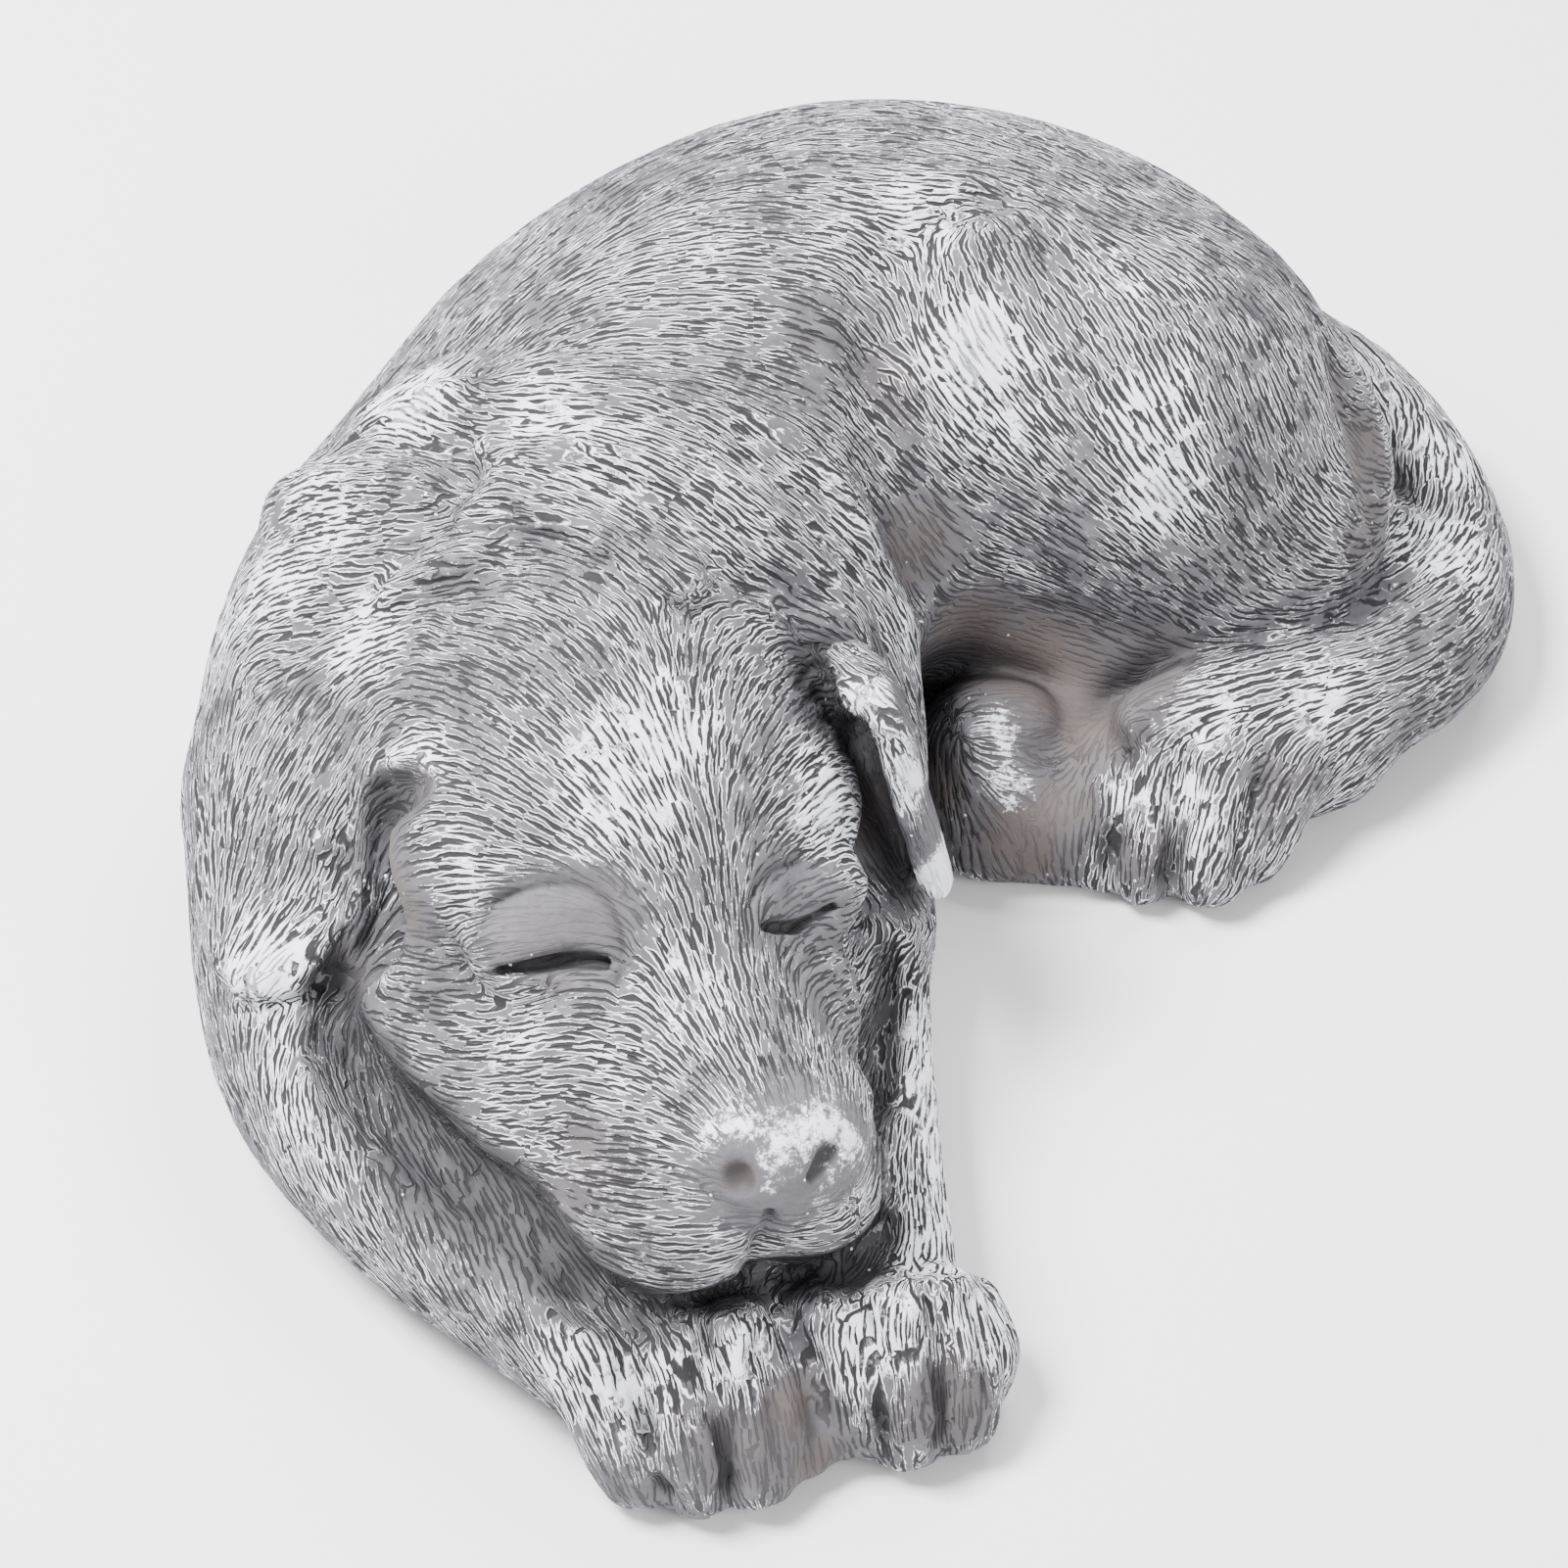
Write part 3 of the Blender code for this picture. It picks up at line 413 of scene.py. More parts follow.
@dataclass(frozen=True)
class Head:
    """Skull, cheeks, muzzle, brows, eyelids, chin and nose in the head's own frame, and both ears."""

    centre: Row = (-27.2, -14.0, 36.4)
    yaw: float = 22.0
    pitch: float = 6.0
    roll: float = 11.0
    left_ear: Rows = (
        (-46.3, -10.8, 51.8, 8, -0.59, -0.21, 0.75), (-55.4, -7.6, 43.5, 9, -0.58, -0.28, 0.73),
        (-63.7, -12, 35.7, 8.8, -0.54, -0.35, 0.72), (-64, -19.9, 30.1, 8, -0.46, -0.36, 0.77),
        (-62.8, -25.5, 28.4, 6.8, -0.36, -0.3, 0.85), (-61.9, -29.1, 27.9, 4.5, -0.29, -0.24, 0.91),
        (-61.4, -30.6, 27.7, 2, -0.25, -0.2, 0.94),
    )
    right_ear: Rows = (
        (0.2, -4.2, 47.5, 4), (3.2, -4, 46, 6), (5, -6.4, 43, 7), (6.4, -9.3, 37, 6.5), (8.6, -12.3, 30, 5.5),
        (10.1, -16, 26, 3),
    )
    left_rim: Rows = (
        (-44.9, -21.1, 51, 2.6), (-49.1, -17.7, 47.6, 3), (-53.5, -15.3, 41.2, 3), (-56.3, -17.3, 37.1, 3),
        (-56.6, -20.5, 33.2, 3), (-56.5, -24.1, 30.9, 3), (-57.8, -27.9, 29.4, 2.8), (-60.2, -30.4, 28.5, 2.6),
    )
    left_hollow: Rows = (
        (-46.7, -23.5, 51.2, 2), (-49.1, -22.3, 48, 3), (-50.3, -22.7, 44.4, 3.6), (-50.3, -24.4, 40.9, 4),
        (-49.6, -27.5, 38, 4.2), (-51, -30.3, 34.3, 4), (-54.5, -32.1, 29.7, 3),
    )
    jaw_gaps: tuple[tuple[Rows, float], ...] = (
        (((-56.6, -32.2, 27.2, 2.2), (-55, -38.3, 26.3, 3.4), (-51.5, -44.7, 25.3, 4), (-46.2, -50.7, 25, 4),
          (-41.6, -55.8, 25.2, 3.8), (-36.6, -60.4, 26.3, 3.6), (-32.7, -64.4, 25.7, 3.4), (-28.9, -68, 23.2, 3),
          (-24.3, -70.6, 21.9, 2.6), (-19.9, -71.7, 21.2, 2)), 1.5),
        (((4.9, -21.8, 20.1, 1.6), (4.8, -28.8, 19.5, 2.2), (3.4, -34.6, 20, 2.6), (2.9, -40, 20.1, 2.6),
          (4, -50.8, 27.4, 2.4), (4.4, -56.1, 25.7, 2.2), (3.6, -58.3, 20.2, 2.2), (1.3, -62.3, 18.7, 2)), 1.2),
    )
    lines: tuple[tuple[Rows, float], ...] = (
        (((-37.3, -42.9, 43.7, 0.9), (-35, -43, 44.3, 1.3), (-29.2, -41.5, 44.2, 1.4), (-26, -41.8, 44.1, 1.1)), 1.5),
        (((-9.1, -35.6, 42.9, 0.8), (-7.1, -34.3, 40.9, 1.2), (-4.9, -32.3, 38.8, 1.3), (-1.5, -29.4, 38.1, 0.9)), 1.2),
        (((-40.3, -38.9, 44.7, 1), (-38.2, -36.9, 47.2, 1.5), (-34, -35.6, 48.9, 1.8), (-29, -35.5, 49.4, 1.8),
          (-25.7, -37, 48.4, 1.6), (-24.2, -39.9, 46, 1.5), (-24.6, -43.5, 43.2, 1.1)), 0.9),
        (((-10.6, -34.5, 44.7, 1), (-8.9, -30.6, 45.1, 1.5), (-5.5, -26.8, 42.7, 1.6), (-2.2, -25.8, 40.5, 1.4)), 0.8),
        (((-11.8, -65, 37.7, 2.1), (-11.7, -65.3, 37.3, 2.1)), 1.6),
        (((-1.6, -61.3, 37.7, 1.3), (-2.4, -62.5, 37.5, 1.7), (-3.8, -64.4, 36.7, 1.1)), 1.9),
        (((-15, -65, 36, 1), (-13.4, -66.4, 34.1, 1.5), (-10.9, -66.6, 33.1, 1.8), (-8.4, -66.5, 32.9, 1.8),
          (-5.5, -65.9, 34.5, 1.6), (-1.9, -63.9, 34.9, 1.4), (1, -60.6, 33.8, 1)), 1.0),
        (((-8.5, -65.8, 32.6, 1.4), (-9.1, -66.5, 29, 2), (-10.3, -66.3, 23.6, 2.2)), 1.9),
        (((0.2, -61.2, 19.9, 1), (-4.5, -63.1, 17.8, 1.4), (-7.5, -63.5, 17.9, 1.5), (-10.3, -64.8, 21.5, 1.6),
          (-12.2, -64.7, 18.8, 1.9), (-16.4, -67.5, 19.9, 1.8), (-19.5, -69.3, 21.4, 1.2)), 1.8),
    )

    def axes(self) -> np.ndarray:
        """The head's across, forward and up directions."""
        return turn(self.yaw, self.pitch, self.roll)

    def place(self, row: Row) -> tuple[float, ...]:
        """A row that begins with across, forward, up, as a row in the figure's frame."""
        return (*(np.array(self.centre) + np.array(row[:3]) @ self.axes()), *row[3:])

    def lay_on(self, clay: Clay) -> None:
        """Models the head apart and lays it on the neck with a small fillet."""
        skull = Clay(clay.points)
        axes = self.axes()

        def ball(centre: Row, radii: Row, fillet: float) -> None:
            """Adds an egg with the head's axes."""
            skull.add(Ball(self.place(centre), radii, axes), fillet)

        ball((0, -2, 0), (27, 30, 21), 3)
        bridge = ((0, 14, -3, 15), (0, 28, -3, 13.5), (-0.5, 38, -3, 13.5), (0, 43, -3, 13))
        skull.add(Tube([self.place(row) for row in bridge]), 8)
        ball((14, 9, -13), (13, 25, 12), 8)
        ball((-15, 11, -15.5), (16.5, 27, 14), 8)
        ball((-12.5, 31, -14), (14, 19, 11), 5)
        ball((-9.5, 43, -8), (12, 12.5, 12), 4)
        ball((7.5, 43, -6.5), (9.5, 12.5, 11.5), 3)
        ball((-13, 29, -3), (9, 10, 8.5), 5)
        ball((12, 28, -3), (7.5, 9, 8), 5)
        for side in (-1, 1):
            ball((side * 18, 7, 6), (8, 8, 6), 6)
            ball((side * 15.2, 18.3, 4.4), (8.2, 6.6, 5.6), 1.5)
        ball((-3, 45.5, -16.5), (11, 10.5, 5.5), 1.2)
        ball((-7.5, 49.5, -5.5), (8.5, 7.5, 7.5), 2)
        ball((6, 49.5, -4), (8, 7.5, 7), 2)
        ball((1.2, 48.5, 3.2), (9.4, 7.8, 6.4), 2.5)
        at = np.flatnonzero(skull.distance < 20)
        clay.join(at, skull.distance[at], 2)

    def add_ears(self, clay: Clay) -> None:
        """Lays on the left ear with the hollow behind its rim, and the right one hanging edge on."""
        clay.add(Flap(self.left_ear, thickness=4, bow=0.012), 1)
        clay.add(Flap([row + (0.9, 0.3, 0.3) for row in self.right_ear], thickness=3.8, bow=0.02), 2)
        clay.add(Tube(self.left_rim), 1.2)
        clay.cut(Tube(self.left_hollow), 1.2)

    def free_jaw(self, clay: Clay) -> None:
        """Cuts the gaps that part the jaw from the forelegs."""
        for gap, fillet in self.jaw_gaps:
            clay.cut(Tube(gap), fillet)

    def draw_face(self, clay: Clay) -> None:
        """Presses the closed eyes, their lid creases, the nostrils, the nose pad's edge and the mouth."""
        for line, depth in self.lines:
            clay.press(line, depth)


@dataclass(frozen=True)
class Puppy:
    """The whole figure as one field of clay, and its skin as a net of quads."""

    body: Body = Body()
    hind_feet: HindFeet = HindFeet()
    forelegs: Forelegs = Forelegs()
    neck: Neck = Neck()
    head: Head = Head()
    low: Row = (-82.0, -91.0, -5.0)
    high: Row = (87.0, 98.0, 69.0)
    cell: float = 1.0
    coarse: int = 4

    def field(self, points: np.ndarray) -> np.ndarray:
        """The distance field at the points, with everything below Z = 0 cut off."""
        clay = Clay(points)
        self.body.lay_on(clay)
        self.hind_feet.lay_on(clay)
        self.forelegs.lay_on(clay)
        self.neck.lay_on(clay)
        self.head.lay_on(clay)
        self.neck.press_folds(clay)
        self.head.add_ears(clay)
        self.head.free_jaw(clay)
        self.forelegs.part_toes(clay)
        self.head.draw_face(clay)
        return np.maximum(clay.distance, -points[:, 2])

    def sample(self) -> np.ndarray:
        """The field on a grid over the figure's box: rough everywhere, exact near the skin."""
        low, high = np.array(self.low), np.array(self.high)
        step = self.coarse
        count = np.ceil((high - low) / self.cell / step).astype(int) * step + 1
        axes = [start + self.cell * np.arange(number) for start, number in zip(low, count)]
        nodes = np.stack(np.meshgrid(*[axis[::step] for axis in axes], indexing="ij"), -1)
        rough = self.field(nodes.reshape(-1, 3)).reshape(nodes.shape[:3])
        nearest = [np.minimum((np.arange(number) + step // 2) // step, (number - 1) // step) for number in count]
        values = rough[np.ix_(*nearest)]
        close = np.argwhere(np.abs(values) < 1.4 * step * self.cell)
        values[tuple(close.T)] = self.field(low + self.cell * close)
        return values

    def part_corners(self, values: np.ndarray) -> None:
        """Fills a corner wherever two solid corners of a grid face touch only across it."""
        for first, second in ((0, 1), (0, 2), (1, 2)) * 3:
            view = np.moveaxis(values, (first, second), (0, 1))
            solid = view < 0
            here, right, ahead, across = solid[:-1, :-1], solid[1:, :-1], solid[:-1, 1:], solid[1:, 1:]
            view[1:, :-1][here & across & ~right & ~ahead] = -0.05 * self.cell
            view[:-1, :-1][right & ahead & ~here & ~across] = -0.05 * self.cell

    def skin(self, values: np.ndarray) -> tuple[np.ndarray, np.ndarray]:
        """The net where the field is 0: one point in each cell that it passes, a quad across each edge.

        Args:
            values: The field on the grid.

        Returns:
            The points, and the quads that join them, facing out.
        """
        shape = np.array(values.shape) - 1
        total = np.zeros((*shape, 3))
        hits = np.zeros(shape)
        for axis in range(3):
            for corner in ((0, 0), (0, 1), (1, 0), (1, 1)):
                start, end = np.insert(corner, axis, 0), np.insert(corner, axis, 1)
                near = values[tuple(slice(s, s + n) for s, n in zip(start, shape))]
                far = values[tuple(slice(s, s + n) for s, n in zip(end, shape))]
                crossed = (near < 0) != (far < 0)
                share = np.where(crossed, near / np.where(crossed, near - far, 1.0), 0.0)
                for k in range(3):
                    total[..., k] += np.where(crossed, start[k] + (share if k == axis else 0.0), 0.0)
                hits += crossed
        used = hits > 0
        number = np.full(tuple(shape), -1)
        number[used] = np.arange(used.sum())
        points = np.array(self.low) + self.cell * (np.argwhere(used) + total[used] / hits[used][:, None])
        quads = []
        for axis in range(3):
            one, two = (axis + 1) % 3, (axis + 2) % 3
            inner = [slice(1, size) for size in shape]
            inner[axis] = slice(0, shape[axis])
            beyond = list(inner)
            beyond[axis] = slice(1, shape[axis] + 1)
            near, far = values[tuple(inner)] < 0, values[tuple(beyond)] < 0
            at = np.argwhere(near != far)
            leaving = (near & ~far)[tuple(at.T)]
            at[:, one] += 1
            at[:, two] += 1
            corners = []
            for step_one, step_two in ((-1, -1), (0, -1), (0, 0), (-1, 0)):
                cell = at.copy()
                cell[:, one] += step_one
                cell[:, two] += step_two
                corners.append(number[tuple(cell.T)])
            quad = np.stack(corners, 1)
            quad[~leaving] = quad[~leaving][:, ::-1]
            quads.append(quad)
        return points, np.vstack(quads)


@dataclass(frozen=True)
class Coat:
    """Strokes of fur cut along combed lines.

    At each point of the skin a short line is traced along the combing, and a fine random grain is
    averaged along it. Where the average is low a groove is cut, where it is high a ridge stands.
    """

    combed: dict[str, Sequence[Rows]]
    smooth_places: Rows
    low: Row
    cell: float
    grain: float = 0.26
    reach: float = 6.0
    step: float = 0.28
    half_steps: int = 9
    groove: float = 0.22
    ridge: float = 0.10
    seed: int = 7
    batch: int = 12000

    def nodes(self, values: np.ndarray) -> tuple[np.ndarray, np.ndarray, np.ndarray]:
        """Grid nodes near the skin, with the outward normal at each.

        Args:
            values: The figure's field on the grid.

        Returns:
            Their grid indices, places and unit normals.
        """
        at = np.argwhere(np.abs(values[1:-1, 1:-1, 1:-1]) < 2.4 * self.cell) + 1
        slope = np.empty((len(at), 3))
        for axis in range(3):
            ahead, behind = at.copy(), at.copy()
            ahead[:, axis] += 1
            behind[:, axis] -= 1
            slope[:, axis] = values[tuple(ahead.T)] - values[tuple(behind.T)]
        slope /= np.linalg.norm(slope, axis=1)[:, None] + 1e-9
        return at, np.array(self.low) + self.cell * at, slope

    def guides(self) -> tuple[np.ndarray, np.ndarray]:
        """Points along the combed lines with unit directions, each line turned to agree with those before it."""
        places, directions = np.zeros((0, 3)), np.zeros((0, 3))
        for lines in self.combed.values():
            for line in lines:
                path = smooth_path(line, 4)
                way = np.diff(path, axis=0)
                way /= np.linalg.norm(way, axis=1)[:, None] + 1e-6
                middle = (path[1:] + path[:-1]) / 2
                apart = ((middle[:, None] - places) ** 2).sum(-1)
                agreement = (np.exp(-apart / (2 * self.reach) ** 2) * (way @ directions.T)).sum()
                places = np.vstack([places, middle])
                directions = np.vstack([directions, -way if agreement < 0 else way])
        return places, directions

    def comb(self, places: np.ndarray, normals: np.ndarray) -> np.ndarray:
        """The fur's direction in the skin at each place: the main axis of sum w t t', seen in the skin.

        Args:
            places: Points near the skin.
            normals: The outward normal at each.

        Returns:
            Unit directions, which point the way that most of the lines nearby were combed.
        """
        guides, directions = self.guides()
        pairs = np.einsum("ka,kb->kab", directions, directions).reshape(len(guides), 9).astype(np.float32)
        helper = np.where(np.abs(normals[:, 2:3]) < 0.8, [[0.0, 0.0, 1.0]], [[1.0, 0.0, 0.0]])
        east = np.cross(normals, helper)
        east /= np.linalg.norm(east, axis=1)[:, None]
        north = np.cross(normals, east)
        found = np.empty((len(places), 3))
        spread = np.float32(2 * self.reach**2)
        guides = guides.astype(np.float32)
        directions = directions.astype(np.float32)
        for start in range(0, len(places), self.batch):
            part = slice(start, start + self.batch)
            here = places[part].astype(np.float32)
            gap = (here**2).sum(1)[:, None] + (guides**2).sum(1) - 2 * here @ guides.T
            gap /= spread
            weight = np.exp(-gap)
            weight += np.float32(1e-3) / (1 + np.maximum(gap, 0)) ** 3
            tensor = (weight @ pairs).reshape(-1, 3, 3)
            e, n = east[part], north[part]
            ee = np.einsum("ia,iab,ib->i", e, tensor, e)
            nn = np.einsum("ia,iab,ib->i", n, tensor, n)
            en = np.einsum("ia,iab,ib->i", e, tensor, n)
            angle = 0.5 * np.arctan2(2 * en, ee - nn)
            axis = np.cos(angle)[:, None] * e + np.sin(angle)[:, None] * n
            found[part] = axis * np.sign((axis * (weight @ directions)).sum(1) + 1e-9)[:, None]
        return found

    def random_grain(self) -> np.ndarray:
        """A block of random grain that repeats, blurred a little so that neighbours agree."""
        block = np.random.default_rng(self.seed).standard_normal((128, 128, 128)).astype(np.float32)
        for axis in range(3):
            block = 0.4 * block + 0.3 * (np.roll(block, 1, axis) + np.roll(block, -1, axis))
        for axis in range(3):
            block = 0.4 * block + 0.3 * (np.roll(block, 1, axis) + np.roll(block, -1, axis))
        return block / block.std()

    def comb_near(self, values: np.ndarray) -> tuple[np.ndarray, np.ndarray]:
        """Combs the grid nodes near the skin.

        Args:
            values: The figure's field on the grid.

        Returns:
            The directions, and for each grid node its row among them.
        """
        at, places, normals = self.nodes(values)
        number = np.zeros(values.shape, np.int32)
        number[tuple(at.T)] = np.arange(len(at))
        return self.comb(places, normals).astype(np.float32), number

    def combed_at(self, points: np.ndarray, combing: tuple[np.ndarray, np.ndarray]) -> np.ndarray:
        """The combing at the grid node nearest to each point."""
        direction, number = combing
        low = np.array(self.low, np.float32)
        index = np.rint((points - low) / np.float32(self.cell)).astype(np.int32)
        index = np.clip(index, 0, np.array(number.shape) - 1)
        return direction[number[index[:, 0], index[:, 1], index[:, 2]]]

    def strokes(self, points: np.ndarray, combing: tuple[np.ndarray, np.ndarray]) -> np.ndarray:
        """The grain averaged along the combing through each point, with a spread of 1.

        Args:
            points: Points on the skin.
            combing: The combed grid nodes.

        Returns:
            A number for each point: low in a groove, high on a ridge.
        """
        block = self.random_grain()
        points = points.astype(np.float32)

        def grain(here: np.ndarray) -> np.ndarray:
            """The random grain at each point."""
            index = np.rint(here / np.float32(self.grain)).astype(np.int32) & 127
            return block[index[:, 0], index[:, 1], index[:, 2]]

        total = grain(points)
        first = self.combed_at(points, combing)
        for sign in (-1, 1):
            here, last = points, first * np.float32(sign)
            for k in range(self.half_steps):
                here = here + np.float32(self.step) * last
                fresh = self.combed_at(here, combing)
                last = fresh * np.sign((fresh * last).sum(1) + 1e-9)[:, None]
                total += grain(here) * np.float32(1.0 - k / (self.half_steps + 1.0))
        return (total - total.mean()) / total.std()

    def relief(self, stroke: np.ndarray) -> np.ndarray:
        """Height of the cut coat: narrow grooves down to the groove depth, low ridges between them."""
        deep = np.clip((-stroke - 0.15) / 1.4, 0.0, 1.0)
        high = np.clip(stroke / 1.6, 0.0, 1.0)
        return self.ridge * high - self.groove * deep * (2 - deep)

    def amount(self, points: np.ndarray) -> np.ndarray:
        """How deep the coat is cut at each point: 1 in general, less on the bare places."""
        share = np.ones(len(points))
        for x, y, z, radius, keep in self.smooth_places:
            gap = np.linalg.norm(points - (x, y, z), axis=1) / radius
            share *= 1 - (1 - keep) * np.clip(1.6 - 1.2 * gap, 0.0, 1.0)
        return share


